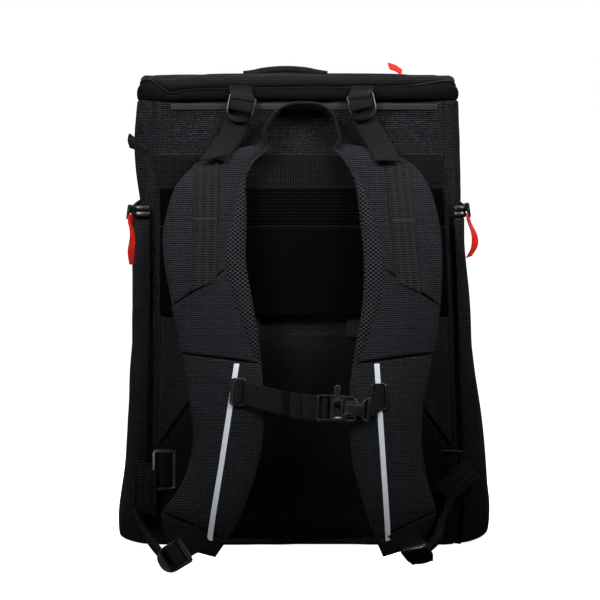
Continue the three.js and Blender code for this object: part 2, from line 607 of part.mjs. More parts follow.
for (const [side, name, sign] of SIDES) {
  const rowPoint = (u, v, inset) => {
    const row = pocketRows[v];
    const lift = v < 2 ? inset : 0;
    const [x, y] = pocketPoint(side, u, pocketRowZ(row), pocketBulge(side, row[`out${side}`]), inset);
    return [x, y, pocketRowZ(row) + lift];
  };
  const shell = slab(planColumns, pocketRows.map((_, i) => i), (u, v) => rowPoint(u, v, 0),
    (u, v) => rowPoint(u, v, POCKET.wall));
  place(`pocket_${name}`, shell, "cloth");

  const topBulge = pocketBulge(side, POCKET_ROWS.at(-1)[`out${side}`]);
  const zipPoint = (u, v, inset) => {
    const z = zipLow + ZIP.tall * v;
    return pocketPoint(side, u, z, topBulge * (1 - 0.5 * v) + ZIP.reach, inset - zipFold(v));
  };
  const zip = slab(planColumns, zipShares, (u, v) => zipPoint(u, v, 0),
    (u, v) => zipPoint(u, v, POCKET.wall));
  place(`pocket_zip_${name}`, zip, "zip");

  // The slider sits on the zip's lower fold and is turned to the pocket's plan there
  const crest = topBulge * (1 - 0.5 * ZIP.crest) + ZIP.reach;
  const zipMiddle = zipLow + ZIP.tall / 2;
  const ahead = planPoint(side, SLIDER.plan + 1, zipMiddle, crest);
  const along = ahead.sub(planPoint(side, SLIDER.plan - 1, zipMiddle, crest));
  const seat = new THREE.Group();
  const stand = zipFold(ZIP.crest) + GAP + SLIDER.thick / 2;
  seat.position.set(...pocketPoint(side, SLIDER.plan, zipMiddle, crest, -stand));
  seat.rotation.z = -sign * Math.atan2(along.x, along.y);
  bag.add(seat);
  const outline = roundedBox(new THREE.Shape(), 0, 0, SLIDER.width, SLIDER.length, 2);
  const slider = plate(outline, SLIDER.thick, 3);
  slider.rotateY(Math.PI / 2).rotateX(Math.PI / 2);
  place(`zip_slider_${name}`, slider, "plastic", seat);

  const low = (drop, plan, out) => {
    const z = zipLow - drop * RIBBON.drop;
    const share = read(POCKET_ROWS.slice(1), "up", (z - POCKET.low) / (POCKET.high - POCKET.low), `out${side}`);
    return new THREE.Vector3(...pocketPoint(side, plan, z, pocketBulge(side, share), -out));
  };
  const hang = new THREE.CatmullRomCurve3(RIBBON_ROWS.map((row) => low(row.drop, row.plan, row.off)));
  const facing = () => new THREE.Vector3(sign * 0.62, 0.78, 0);
  place(`zip_ribbon_${name}`, strip(hang, facing, RIBBON.width, RIBBON.thick, 10), "red");
}

// Small cloth tab folded out of the left corner
const tabPoint = (u, v, inset) => {
  const z = BODY.height - TAB.drop - TAB.tall * (1 - v);
  const at = bodyAt(z);
  const reach = (TAB.reach * Math.sin(Math.PI * Math.min(1, v * 0.8 + 0.12)) + GAP + TAB.wall) * (inset ? 0 : 1);
  return [-(at.side.L + GAP + reach), -BODY.front + BODY.roll + u * TAB.length, z];
};
const cornerTab = slab([0, 0.5, 1], steps(5), (u, v) => tabPoint(u, v, false), (u, v) => tabPoint(u, v, true));
place("corner_tab", cornerTab, "cloth");

// Haul loop: webbing on edge, in an arch whose right side is steeper
const haulWide = HAUL.right - HAUL.left;
const haulY = -BODY.front - STRIP.thick - 2 * GAP - HAUL.width / 2;
const haulPoints = HAUL_ROWS.map((row) => new THREE.Vector3(HAUL.left + haulWide * row.across, haulY,
  BODY.height - HAUL.drop + HAUL.rise * row.up));
place("haul_loop", strip(new THREE.CatmullRomCurve3(haulPoints), alongY, HAUL.width, HAUL.thick, 22), "webbing");

// Shoulder straps

/** Value of a column of a table on a smooth curve through its rows. */
function readSmooth(rows, key, at, column) {
  let i = 0;
  while (i < rows.length - 2 && rows[i + 1][key] < at) i += 1;
  const slope = (k) => {
    const a = rows[Math.max(k - 1, 0)];
    const b = rows[Math.min(k + 1, rows.length - 1)];
    return (b[column] - a[column]) / (b[key] - a[key]);
  };
  const span = rows[i + 1][key] - rows[i][key];
  const t = THREE.MathUtils.clamp((at - rows[i][key]) / span, 0, 1);
  const ease = t * t * (3 - 2 * t);
  const bend = t * (1 - t) * span * ((1 - t) * slope(i) - t * slope(i + 1));
  return mix(rows[i][column], rows[i + 1][column], ease) + bend;
}

const strapColumn = (side, down, name) => readSmooth(STRAP_ROWS, "down", down, `${name}${side}`) * STRAP.half;

const strapTop = BODY.height - STRAP.drop;

/** Middle line of a strap seen from the side: [y, z] at a share of the way down. */
function strapSpine(down) {
  const off = readSmooth(STRAP_ROWS, "down", down, "off") * STRAP.reach;
  return [-BODY.front - off, mix(strapTop, STRAP.tip, down)];
}

/** Share of the full thickness at a share of the strap's width. */
const strapCrown = (u) => 1 - (1 - STRAP.edge) * Math.abs(2 * u - 1) ** 5;

/** Point of a strap at a share of its width, standing off its middle surface by a height. */
function strapPoint(side, u, down, height) {
  const [y, z] = strapSpine(down);
  const before = strapSpine(Math.max(0, down - 0.02));
  const after = strapSpine(Math.min(1, down + 0.02));
  const along = new THREE.Vector2(after[0] - before[0], after[1] - before[1]).normalize();
  const fall = readSmooth(STRAP_ROWS, "down", down, "fall") * STRAP.reach;
  const x = mix(strapColumn(side, down, "in"), strapColumn(side, down, "out"), u);
  const sign = side === "L" ? -1 : 1;
  return [sign * x, y + along.y * height, z - along.x * height - fall * u];
}

/** Share of a strap's width that lies at a distance from the bag's middle. */
function strapShare(side, x, down) {
  const inner = strapColumn(side, down, "in");
  return (Math.abs(x) - inner) / (strapColumn(side, down, "out") - inner);
}
const strapTaper = (down) => read(TAPER_ROWS, "down", down, "thick");
const strapFront = (u, down) => STRAP.front * strapCrown(u) * strapTaper(down);
const strapBack = (u, down) => STRAP.lining * strapCrown(u) * strapTaper(down);

/** Place above a strap's front cloth. */
function onStrap(side, share, down, height) {
  return new THREE.Vector3(...strapPoint(side, share, down, strapFront(share, down) + height));
}

for (const [side, name] of SIDES) {
  const lining = slab([0, 0.08, 0.25, 0.75, 0.92, 1], steps(STRAP.rows), (u, v) => strapPoint(side, u, v, -GAP),
    (u, v) => strapPoint(side, u, v, -strapBack(u, v)));
  place(`strap_lining_${name}`, lining, "mesh");
  for (const [i, piece] of STRAP_NAMES.entries()) {
    const from = STRAP_SEAMS[i];
    const to = STRAP_SEAMS[i + 1];
    const point = (u, v, high) => {
      const above = mix(from.inner, from.outer, u) + (i > 0 ? SEAM_GAP : 0);
      const below = mix(to.inner, to.outer, u) - (i < STRAP_NAMES.length - 1 ? SEAM_GAP : 0);
      const down = mix(above, below, v);
      const mesh = read(STRAP_ROWS, "down", down, "mesh");
      const share = mesh + (1 - mesh) * u;
      return strapPoint(side, share, down, high ? strapFront(share, down) : GAP);
    };
    const rows = Math.max(3, Math.round(STRAP.rows * (to.inner - from.inner)));
    const columns = [0, 0.07, 0.2, 0.5, 0.8, 0.93, 1];
    const pad = slab(columns, steps(rows), (u, v) => point(u, v, true), (u, v) => point(u, v, false));
    place(`strap_${piece}_${name}`, pad, "cloth");
  }

  // Ladder webbing sewn on the upper strap, cut along the first seam, and the light strip below
  const seamAt = (index, u) => mix(STRAP_SEAMS[index].inner, STRAP_SEAMS[index].outer, u);
  const daisyPoint = (u, v, out) => {
    const x = mix(DAISY[`top${side}`], DAISY[`low${side}`], v) + (u - 0.5) * WEBBING.width;
    const end = seamAt(1, strapShare(side, x, STRAP_SEAMS[1].inner)) - 4 * SEAM_GAP;
    const down = mix(DAISY.top, end, v);
    const share = strapShare(side, x, down);
    return strapPoint(side, share, down, strapFront(share, down) + GAP * 1.5 + out);
  };
  const daisyTop = (u, v) => daisyPoint(u, v, WEBBING.thick);
  const daisy = slab([0, 0.33, 0.67, 1], steps(8), daisyTop, (u, v) => daisyPoint(u, v, 0));
  place(`daisy_webbing_${name}`, daisy, "webbing");
  const glowPoint = (u, v, out) => {
    const x = mix(GLOW[`top${side}`], GLOW[`low${side}`], v) + (u - 0.5) * GLOW.width;
    const down = mix(GLOW.top, GLOW.low, v);
    const share = strapShare(side, x, down);
    return strapPoint(side, share, down, strapFront(share, down) + GAP + out);
  };
  const glow = slab([0, 1], steps(12), (u, v) => glowPoint(u, v, GLOW.thick), (u, v) => glowPoint(u, v, 0));
  place(`light_strip_${name}`, glow, "glow");
}

// Hardware and the webbing that holds it

/** Turns a piece drawn in the XY plane to face the viewer: roll in its plane, then the lean. */
function face(geometry, roll, lean) {
  const toRadians = THREE.MathUtils.degToRad;
  return geometry.rotateZ(toRadians(roll)).rotateX(Math.PI / 2 - toRadians(lean));
}

/** Slotted frame with a bar across its middle, for webbing of the usual width. */
function slottedFrame(width, height, bar, slot, thick) {
  const shape = roundedBox(new THREE.Shape(), 0, 0, width, height, bar);
  const offset = height / 2 - bar - slot / 2;
  for (const sign of [-1, 1]) {
    shape.holes.push(roundedBox(new THREE.Path(), 0, sign * offset, width - 2 * bar, slot, 1.2));
  }
  return plate(shape, thick, 2);
}

/** Adds a piece at a place, by way of a group that stands there. */
function seatAt(name, geometry, paint, x, y, z) {
  const seat = new THREE.Group();
  seat.position.set(x, y, z);
  bag.add(seat);
  return place(name, geometry, paint, seat);
}

for (const [side, name, sign] of SIDES) {
  const x = LIFTER[name];
  const rimFront = -BODY.front - RIM.proud - 2 * GAP - WEBBING.thick / 2;
  const tabCurve = new THREE.CatmullRomCurve3([
    new THREE.Vector3(x, rimFront, rimHigh - 0.5),
    new THREE.Vector3(x, rimFront - 0.3, mix(rimLow, rimHigh, 0.3)),
    new THREE.Vector3(x, rimFront - 0.6, rimLow - LIFTER.hang / 3),
    new THREE.Vector3(x, rimFront - 2, rimLow - LIFTER.hang),
  ]);
  place(`lifter_tab_${name}`, strip(tabCurve, alongX, WEBBING.width, WEBBING.thick, 6), "webbing");

  const lock = () => slottedFrame(LOCK.width, LOCK.height, LOCK.bar, LOCK.slot, LOCK.thick);
  const lockY = rimFront - LIFTER.stand;
  const lockZ = rimLow - LOCK.height / 2 + 1;
  seatAt(`ladder_lock_${name}`, face(lock(), sign * LIFTER.tilt, LIFTER.lean), "plastic", x, lockY, lockZ);

  const lifterX = DAISY[`top${side}`] * 0.94;
  const lifterSeat = (down, height) => onStrap(side, strapShare(side, lifterX, down), down, height);
  const lifterCurve = new THREE.CatmullRomCurve3([
    new THREE.Vector3(x, lockY + 3.4, lockZ - 2),
    new THREE.Vector3(x + sign * 2, lockY + 0.6, lockZ - LOCK.height / 2 - 1),
    new THREE.Vector3(mix(x, lifterX, 0.6), lockY - LIFTER.bow, mix(lockZ, strapTop, 0.8)),
    lifterSeat(LIFTER.end * 0.4, 5.6),
    lifterSeat(LIFTER.end, 3.4),
  ]);
  const lifterAcross = (v) => {
    const turn = THREE.MathUtils.degToRad(mix(LIFTER.turnTop, LIFTER.turnLow, v));
    return new THREE.Vector3(Math.cos(turn), 0, sign * Math.sin(turn));
  };
  place(`lifter_webbing_${name}`, strip(lifterCurve, lifterAcross, WEBBING.width, WEBBING.thick, 12), "webbing");
}

// Chest strap: a loop on each light strip, webbing with its keeper, and a side-release clasp
const chestDown = (strapTop - CHEST.height) / (strapTop - STRAP.tip);
const chestBelow = strapSpine(chestDown + 0.02);
const chestSlope = (strapSpine(chestDown)[0] - chestBelow[0]) / (strapSpine(chestDown)[1] - chestBelow[1]);
const chestTurn = Math.atan(chestSlope);
const chestLean = THREE.MathUtils.radToDeg(chestTurn);
const chestSeat = (side, x) => {
  const share = strapShare(side, x, chestDown);
  const height = strapFront(share, chestDown) + 3 * GAP + GLOW.thick + CHEST.loopThick / 2;
  return strapPoint(side, share, chestDown, height);
};
for (const [side, name, sign] of SIDES) {
  const [, y, z] = chestSeat(side, CHEST[`${name}Loop`]);
  const shape = roundedBox(new THREE.Shape(), 0, 0, CHEST.loopWide, CHEST.loopHigh, CHEST.loopBar);
  const bars = 2 * CHEST.loopBar;
  const hole = roundedBox(new THREE.Path(), 0, 0, CHEST.loopWide - bars, CHEST.loopHigh - bars, 1);
  shape.holes.push(hole);
  const loop = face(plate(shape, CHEST.loopThick, 3), sign * 4, chestLean);
  seatAt(`chest_loop_${name}`, loop, "plastic", CHEST[`${name}Loop`], y, z);
}
const [, loopY, loopZ] = chestSeat("L", CHEST.leftLoop);
const chestY = loopY - CHEST.loopThick / 2 - WEBBING.thick / 2 - 2 * GAP;
const chestUp = () => new THREE.Vector3(0, Math.sin(chestTurn), Math.cos(chestTurn));
const chestStart = new THREE.Vector3(CHEST.leftLoop, chestY, loopZ);
const chestEnd = new THREE.Vector3(CLASP.left - 3 * GAP, chestY - CHEST.lift, loopZ - CHEST.sag);
const chestCurve = new THREE.LineCurve3(chestStart, chestEnd);
place("chest_webbing", strip(chestCurve, chestUp, CHEST.width, WEBBING.thick, 6), "webbing");

function keeperRing(path, out, radius) {
  return roundedBox(path, 0, 0, CHEST.width + 2 * out, WEBBING.thick + 2 * out, radius);
}
const keeperShape = keeperRing(new THREE.Shape(), KEEPER.out, 1.2);
keeperShape.holes.push(keeperRing(new THREE.Path(), KEEPER.in, 0.5));
const keeper = plate(keeperShape, KEEPER.wide, 2);
keeper.rotateY(Math.PI / 2).rotateX(-chestTurn);
const keeperAt = chestCurve.getPoint((KEEPER.x - CHEST.leftLoop) / (chestEnd.x - CHEST.leftLoop));
seatAt("chest_keeper", keeper, "webbing", keeperAt.x, keeperAt.y, keeperAt.z);

const half = CLASP.height / 2;
const socket = new THREE.Shape();
socket.moveTo(0, -half + 2);
socket.lineTo(2, -half);
socket.lineTo(CLASP.mouth - CLASP.left, -half + 1);
socket.lineTo(CLASP.mouth - CLASP.left, -CLASP.throat / 2);
socket.lineTo(CLASP.deep, -CLASP.throat / 2);
socket.lineTo(CLASP.deep, CLASP.throat / 2);
socket.lineTo(CLASP.mouth - CLASP.left, CLASP.throat / 2);
socket.lineTo(CLASP.mouth - CLASP.left, half - 1);
socket.lineTo(CLASP.post + CLASP.postWide, half - 0.5);
socket.lineTo(CLASP.post + CLASP.postWide, half + CLASP.postHigh);
socket.lineTo(CLASP.post, half + CLASP.postHigh);
socket.lineTo(CLASP.post, half);
socket.lineTo(2, half);
socket.lineTo(0, half - 2);
socket.holes.push(roundedBox(new THREE.Path(), CLASP.bar, 0, CLASP.slot, CLASP.height - 2 * CLASP.end, 1));
const plug = new THREE.Shape();
const prong = CLASP.throat / 2 - GAP;
const shoulder = CLASP.mouth - CLASP.left + GAP;
const plugEnd = CLASP.right - CLASP.left;
plug.moveTo(CLASP.deep + GAP, -prong);
plug.lineTo(shoulder, -prong);
plug.lineTo(shoulder + 4, -prong + 2);
plug.lineTo(mix(shoulder, plugEnd, 0.6), -half + 2);
plug.lineTo(plugEnd, -half);
plug.lineTo(plugEnd, half);
plug.lineTo(mix(shoulder, plugEnd, 0.6), half - 2);
plug.lineTo(shoulder + 4, prong - 2);
plug.lineTo(shoulder, prong);
plug.lineTo(CLASP.deep + GAP, prong);
plug.holes.push(roundedBox(new THREE.Path(), plugEnd - CLASP.bar, 0, CLASP.slot, CLASP.height - 2 * CLASP.end, 1));
const claspY = chestEnd.y - 0.2;
const clasp = (shape, thick) => face(plate(shape, thick, 3), -1.5, chestLean);
seatAt("clasp_socket", clasp(socket, CLASP.thick), "plastic", CLASP.left, claspY, chestEnd.z - 0.5);
seatAt("clasp_plug", clasp(plug, CLASP.thick * 0.6), "plastic", CLASP.left, claspY, chestEnd.z - 0.5);

// Lower corners: slotted plate on the pad, webbing from the corner, ladder-lock, tab on the strap's end
for (const [side, name, sign] of SIDES) {
  const inward = (PLATE[name] - PLATE.width / 2) / panelEdge(side, PLATE.z) / ARCH_ROWS.at(-1).across;
  const padFront = GAP + PAD.edge + PAD.crown * swell((1 - inward) / 2);
  const plateY = -BODY.front - padFront - GAP - PLATE.thick / 2;
  const slots = slottedFrame(PLATE.height, PLATE.width, PLATE.rim, PLATE.slot, PLATE.thick).rotateZ(Math.PI / 2);
  seatAt(`slotted_plate_${name}`, face(slots, 0, 0), "plastic", sign * PLATE[name], plateY, PLATE.z);

  const corner = LOWER_ROUTES[name];
  const tabPoints = corner.tab.map((p) => new THREE.Vector3(...p));
  const tabAcross = () => new THREE.Vector3(...corner.tabAcross);
  const tab = strip(new THREE.CatmullRomCurve3(tabPoints), tabAcross, WEBBING.width, WEBBING.thick, 8);
  place(`corner_webbing_${name}`, tab, "webbing");
  const [lockX, lockZ] = corner.lock;
  const lockY = -BODY.front - STRAP.reach - LOWER.beyond;
  const tabEnd = corner.tab.at(-1)[1];
  const foldPoints = corner.fold.map(([x, forward, z]) => new THREE.Vector3(x, mix(tabEnd, lockY, forward), z));
  const lockAcross = () => new THREE.Vector3(LOWER.across[0], 0, sign * LOWER.across[2]);
  const foldAcross = (v) => new THREE.Vector3(...corner.foldAcross).lerp(lockAcross(), v);
  const fold = strip(new THREE.CatmullRomCurve3(foldPoints), foldAcross, FOLD.width, FOLD.thick, 12);
  place(`folded_webbing_${name}`, fold, "webbing");

  const lock = slottedFrame(LOCK.width, LOCK.height, LOCK.bar, LOCK.slot, LOCK.thick);
  seatAt(`lower_lock_${name}`, face(lock, sign * LOWER.roll, LOWER.lean), "plastic", lockX, lockY, lockZ);

  const endAt = (share, down, height) => onStrap(side, share, down, height);
  const barY = lockY + LOCK.thick / 2 + LOWER.forward;
  const bar = new THREE.Vector3(lockX - sign * LOWER.inward, barY, lockZ + LOWER.up);
  const endCurve = new THREE.CatmullRomCurve3([endAt(0.4, 0.965, 1.5), endAt(0.5, 0.985, 1.9), bar]);
  place(`end_webbing_${name}`, strip(endCurve, lockAcross, WEBBING.width * 0.8, WEBBING.thick, 6), "webbing");
}

export default bag;
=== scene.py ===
"""Looks of a tall boxy gear backpack, seen from its harness side.

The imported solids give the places. Tables and sizes below are in millimetres, the meshes in metres.
X is positive to the right of a viewer who faces the harness, which looks towards -Y.
"""

import logging
import math
from dataclasses import dataclass
from enum import Enum
from typing import Callable, ClassVar, Iterable, Sequence

import bmesh
import bpy
import numpy as np
from mathutils import Matrix, Vector, geometry


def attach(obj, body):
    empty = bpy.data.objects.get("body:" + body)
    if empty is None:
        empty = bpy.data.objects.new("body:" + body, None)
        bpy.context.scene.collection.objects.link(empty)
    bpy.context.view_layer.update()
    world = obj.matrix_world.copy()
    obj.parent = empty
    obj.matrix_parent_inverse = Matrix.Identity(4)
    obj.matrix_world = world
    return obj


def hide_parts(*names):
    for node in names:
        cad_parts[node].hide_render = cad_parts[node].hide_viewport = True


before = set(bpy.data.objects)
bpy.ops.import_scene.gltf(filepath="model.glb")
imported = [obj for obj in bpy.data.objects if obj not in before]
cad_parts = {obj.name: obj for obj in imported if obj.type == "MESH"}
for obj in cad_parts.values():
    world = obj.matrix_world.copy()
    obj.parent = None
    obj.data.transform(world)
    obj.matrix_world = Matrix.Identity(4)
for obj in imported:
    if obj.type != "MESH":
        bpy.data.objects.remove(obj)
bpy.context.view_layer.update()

log = logging.getLogger("gear_bag")

MM = 0.001
Point = tuple[float, float, float]


class Side(Enum):
    """The viewer's left and right, by the sign of x."""

    LEFT = -1
    RIGHT = 1

    @property
    def word(self) -> str:
        """The side as the nodes' names spell it."""
        return self.name.lower()

    @property
    def column(self) -> int:
        """Index of the side in a pair of left and right values."""
        return 0 if self is Side.LEFT else 1


class Slot(Enum):
    """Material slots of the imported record."""

    SHELL = "shell_cloth"
    PANEL = "panel_cloth"
    MESH = "air_mesh"
    WEBBING = "webbing"
    PLASTIC = "buckle_plastic"
    LIGHT = "light_strip"
    SMOOTH = "smooth_strip"
    RED = "red_ribbon"
    ZIP = "zip_tape"


# Finishes: looks of real materials, with sizes in millimetres; a few are copies of the same cloth and mesh, darkened
# as painted shade and lightened as painted light


def linear(hex_colour: str) -> tuple[float, float, float, float]:
    """Turns an sRGB colour to linear light.

    Args:
        hex_colour: Six hex digits with a leading hash.

    Returns:
        Red, green, blue and full alpha.
    """
    parts = [int(hex_colour[i : i + 2], 16) / 255 for i in (1, 3, 5)]
    red, green, blue = (c / 12.92 if c <= 0.04045 else ((c + 0.055) / 1.055) ** 2.4 for c in parts)
    return red, green, blue, 1.0


class Tree:
    """Node tree of one material."""

    def __init__(self, name: str) -> None:
        """Starts an empty material.

        Args:
            name: The material's name.
        """
        self.material = bpy.data.materials.new(name)
        self.material.use_nodes = True
        self.nodes = self.material.node_tree.nodes
        self.nodes.clear()

    def add(
        self, kind: str, settings: dict | None = None, values: dict | None = None, links: dict | None = None
    ) -> bpy.types.Node:
        """Adds a node.

        Args:
            kind: The node's type without its prefix.
            settings: Attributes of the node.
            values: Constants of its inputs, by name or index.
            links: Sockets that feed its inputs, by name or index.

        Returns:
            The new node.
        """
        node = self.nodes.new("ShaderNode" + kind)
        for key, value in (settings or {}).items():
            setattr(node, key, value)
        for key, value in (values or {}).items():
            node.inputs[key].default_value = value
        for key, socket in (links or {}).items():
            self.material.node_tree.links.new(socket, node.inputs[key])
        return node

    def surface(self, values: dict, links: dict) -> bpy.types.Material:
        """Ends the tree with its shader.

        Args:
            values: Constants of the shader.
            links: Sockets that feed the shader.

        Returns:
            The finished material.
        """
        shader = self.add("BsdfPrincipled", None, values, links)
        self.add("OutputMaterial", None, None, {"Surface": shader.outputs["BSDF"]})
        return self.material


def facing_pair(tree: Tree) -> tuple[bpy.types.NodeSocket, bpy.types.NodeSocket]:
    """Two coordinates that lie in the face: x and z in front, y and z at the sides, x and y on top.

    Args:
        tree: The tree to add to.

    Returns:
        The sockets of the crosswise and the upward coordinate, in metres.
    """
    place = tree.add("TexCoord").outputs["Object"]
    xyz = tree.add("SeparateXYZ", None, None, {0: place}).outputs
    normal = tree.add("NewGeometry").outputs["Normal"]
    facing = tree.add("SeparateXYZ", None, None, {0: normal}).outputs
    picks = []
    for axis, low, high in ((0, 0, 1), (2, 2, 1)):
        size = tree.add("Math", {"operation": "ABSOLUTE"}, None, {0: facing[axis]}).outputs[0]
        turned = tree.add("Math", {"operation": "GREATER_THAN"}, {1: 0.72}, {0: size}).outputs[0]
        picks.append(tree.add("Mix", None, None, {0: turned, 2: xyz[low], 3: xyz[high]}).outputs[0])
    return picks[0], picks[1]


def wave(tree: Tree, coordinate: bpy.types.NodeSocket, pitch: float) -> bpy.types.NodeSocket:
    """Sine along a coordinate.

    Args:
        tree: The tree to add to.
        coordinate: Socket in metres.
        pitch: Length of one wave in millimetres.

    Returns:
        Socket from -1 to 1.
    """
    turns = 2 * math.pi / (pitch * MM)
    angle = tree.add("Math", {"operation": "MULTIPLY"}, {1: turns}, {0: coordinate}).outputs[0]
    return tree.add("Math", {"operation": "SINE"}, None, {0: angle}).outputs[0]


def mottled(
    tree: Tree, low: str, high: str, share: bpy.types.NodeSocket, size: float, amount: float
) -> bpy.types.NodeSocket:
    """Blend of two colours, uneven on a large scale as dyed cloth is.

    Args:
        tree: The tree to add to.
        low: Colour at share 0.
        high: Colour at share 1.
        share: Socket from 0 to 1.
        size: Size of the uneven patches in millimetres.
        amount: How far the patches shift the share.

    Returns:
        The colour's socket.
    """
    patches = tree.add("TexNoise", None, {"Scale": 1 / (size * MM), "Detail": 3.0, "Roughness": 0.6}).outputs[0]
    shift = tree.add("Math", {"operation": "MULTIPLY_ADD"}, {1: 2 * amount, 2: -amount}, {0: patches}).outputs[0]
    total = tree.add("Math", {"operation": "ADD", "use_clamp": True}, None, {0: share, 1: shift}).outputs[0]
    values = {6: linear(low), 7: linear(high)}
    return tree.add("Mix", {"data_type": "RGBA"}, values, {0: total}).outputs[2]


class Weave:
    """What cloth and webbing share: threads that catch light on their crowns, more on some than on others.

    Attributes:
        crown_from: Height at which a crown begins.
        crown_to: Height of a full crown.
        grain_scale: How fine the uneven light is.
        glints: Grain of a dull thread and of a bright one, and the light that a dull one keeps.
        patch: Size and amount of the mottling.
        rough_span: How much rougher the gaps and how much smoother the crowns are.
    """

    crown_from: ClassVar[float]
    crown_to: ClassVar[float]
    grain_scale: ClassVar[float]
    glints: ClassVar[tuple[float, float, float]]
    patch: ClassVar[tuple[float, float]]
    rough_span: ClassVar[tuple[float, float]]

    def dress(self, tree: Tree, woven: bpy.types.NodeSocket) -> bpy.types.Material:
        """Ends a weave's tree.

        Args:
            tree: The tree so far.
            woven: Height of the threads, from -1 to 1.

        Returns:
            The finished material.
        """
        crown = tree.add("MapRange", None, {1: self.crown_from, 2: self.crown_to}, {0: woven}).outputs[0]
        grain = tree.add("TexNoise", None, {"Scale": self.grain_scale, "Detail": 1.0}).outputs[0]
        dull, bright, least = self.glints
        glint = tree.add("MapRange", None, {1: dull, 2: bright, 3: least, 4: 1.7}, {0: grain}).outputs[0]
        lit = tree.add("Math", {"operation": "MULTIPLY"}, None, {0: crown, 1: glint}).outputs[0]
        # Painted light: the base colour runs from the gap colour, near black as painted shade between the threads, to
        # the crown colour, a painted highlight that is brighter on some threads than on others.
        colour = mottled(tree, self.gap, self.crown, lit, *self.patch)
        rougher, smoother = self.rough_span
        limits = {3: self.roughness + rougher, 4: self.roughness - smoother}
        rough = tree.add("MapRange", None, limits, {0: crown}).outputs[0]
        values = {"Strength": 1.0, "Distance": self.relief * MM}
        bump = tree.add("Bump", None, values, {"Height": crown}).outputs[0]
        return tree.surface(
            {"Specular IOR Level": self.specular, "Sheen Weight": self.sheen, "Sheen Roughness": 0.5},
            {"Base Color": colour, "Roughness": rough, "Normal": bump},
        )


@dataclass(frozen=True)
class WovenNylon(Weave):
    """Dyed nylon cloth in plain weave: matt, with a faint line of light on each thread's crown."""

    name: str
    gap: str
    crown: str
    across: float = 2.3
    along: float = 2.1
    lines: float = 0.35
    relief: float = 0.28
    roughness: float = 0.62
    sheen: float = 0.006
    specular: float = 0.05
    wander: float = 2.4
    crown_from, crown_to, grain_scale = -0.2, 0.95, 560.0
    glints, patch, rough_span = (0.43, 0.62, 0.0), (9, 0.24), (0.15, 0.08)

    def build(self) -> bpy.types.Material:
        """Makes the material. The real threads are 0.5 mm apart and are drawn four times as coarse to show."""
        tree = Tree(self.name)
        # Threads wander over about 5 mm, as loosely laid yarn does
        wobble = tree.add("TexNoise", None, {"Scale": 190.0, "Detail": 3.0}).outputs[0]
        waves = []
        for line, pitch in zip(facing_pair(tree), (self.across, self.along)):
            wander = {1: self.wander * MM}
            line = tree.add("Math", {"operation": "MULTIPLY_ADD"}, wander, {0: wobble, 2: line}).outputs[0]
            waves.append(wave(tree, line, pitch))
        beads = tree.add("Math", {"operation": "MULTIPLY"}, None, {0: waves[0], 1: waves[1]}).outputs[0]
        woven = tree.add("Mix", None, {0: self.lines}, {2: beads, 3: waves[1]}).outputs[0]
        return self.dress(tree, woven)


@dataclass(frozen=True)
class Webbing(Weave):
    """Woven polyester webbing: crosswise ribs with a soft lengthwise cord, a little shinier than cloth."""

    name: str
    gap: str
    crown: str
    rib: float = 1.9
    cord: float = 3.6
    relief: float = 0.35
    roughness: float = 0.5
    sheen: float = 0.006
    lean: float = 0.28
    specular: float = 0.07
    slack: float = 2.8
    crown_from, crown_to, grain_scale = -0.45, 0.85, 520.0
    glints, patch, rough_span = (0.44, 0.6, 0.05), (4, 0.3), (0.2, 0.05)

    def build(self) -> bpy.types.Material:
        """Makes the material. It follows the piece's own map, across and along the webbing in metres."""
        tree = Tree(self.name)
        place = tree.add("UVMap", {"uv_map": "cloth"}).outputs[0]
        xyz = tree.add("SeparateXYZ", None, None, {0: place}).outputs
        cord = wave(tree, xyz[0], self.cord)
        # The ribs lie loose over about 4 mm and lean with each lengthwise cord
        line, noise = xyz[1], tree.add("TexNoise", None, {"Scale": 260.0, "Detail": 2.0}).outputs[0]
        for push, length in ((noise, self.slack), (cord, self.lean)):
            line = tree.add("Math", {"operation": "MULTIPLY_ADD"}, {1: length * MM}, {0: push, 2: line}).outputs[0]
        rib = wave(tree, line, self.rib)
        woven = tree.add("Mix", None, {0: 0.25}, {2: rib, 3: cord}).outputs[0]
        return self.dress(tree, woven)


@dataclass(frozen=True)
class AirMesh:
    """Knitted spacer mesh: rows of small dark holes in a soft grey-black net."""

    name: str
    hole: str
    thread: str
    wide: float = 5.2
    high: float = 4.2
    relief: float = 0.9
    slim: float = 0.16
    soft: float = 0.32

    def build(self) -> bpy.types.Material:
        """Makes the material. Two sets of slanting threads leave rows of diamond holes, at their real spacing."""
        tree = Tree(self.name)
        across, upward = facing_pair(tree)
        threads = []
        for slope in (self.wide / self.high, -self.wide / self.high):
            links = {0: upward, 2: across}
            slant = tree.add("Math", {"operation": "MULTIPLY_ADD"}, {1: slope}, links).outputs[0]
            threads.append(wave(tree, slant, 2 * self.wide))
        product = tree.add("Math", {"operation": "MULTIPLY"}, None, {0: threads[0], 1: threads[1]}).outputs[0]
        gap = tree.add("Math", {"operation": "ABSOLUTE"}, None, {0: product}).outputs[0]
        limits = {1: self.slim + self.soft, 2: self.slim}
        net = tree.add("MapRange", {"interpolation_type": "SMOOTHSTEP"}, limits, {0: gap}).outputs[0]
        # The holes are coloured near black: the mesh's own black, deepened as painted shade in the hollows.
        colour = mottled(tree, self.hole, self.thread, net, 6, 0.12)
        values = {"Strength": 1.0, "Distance": self.relief * MM}
        bump = tree.add("Bump", None, values, {"Height": net}).outputs[0]
        return tree.surface(
            {"Specular IOR Level": 0.04, "Sheen Weight": 0.005, "Roughness": 0.7},
            {"Base Color": colour, "Normal": bump},
        )


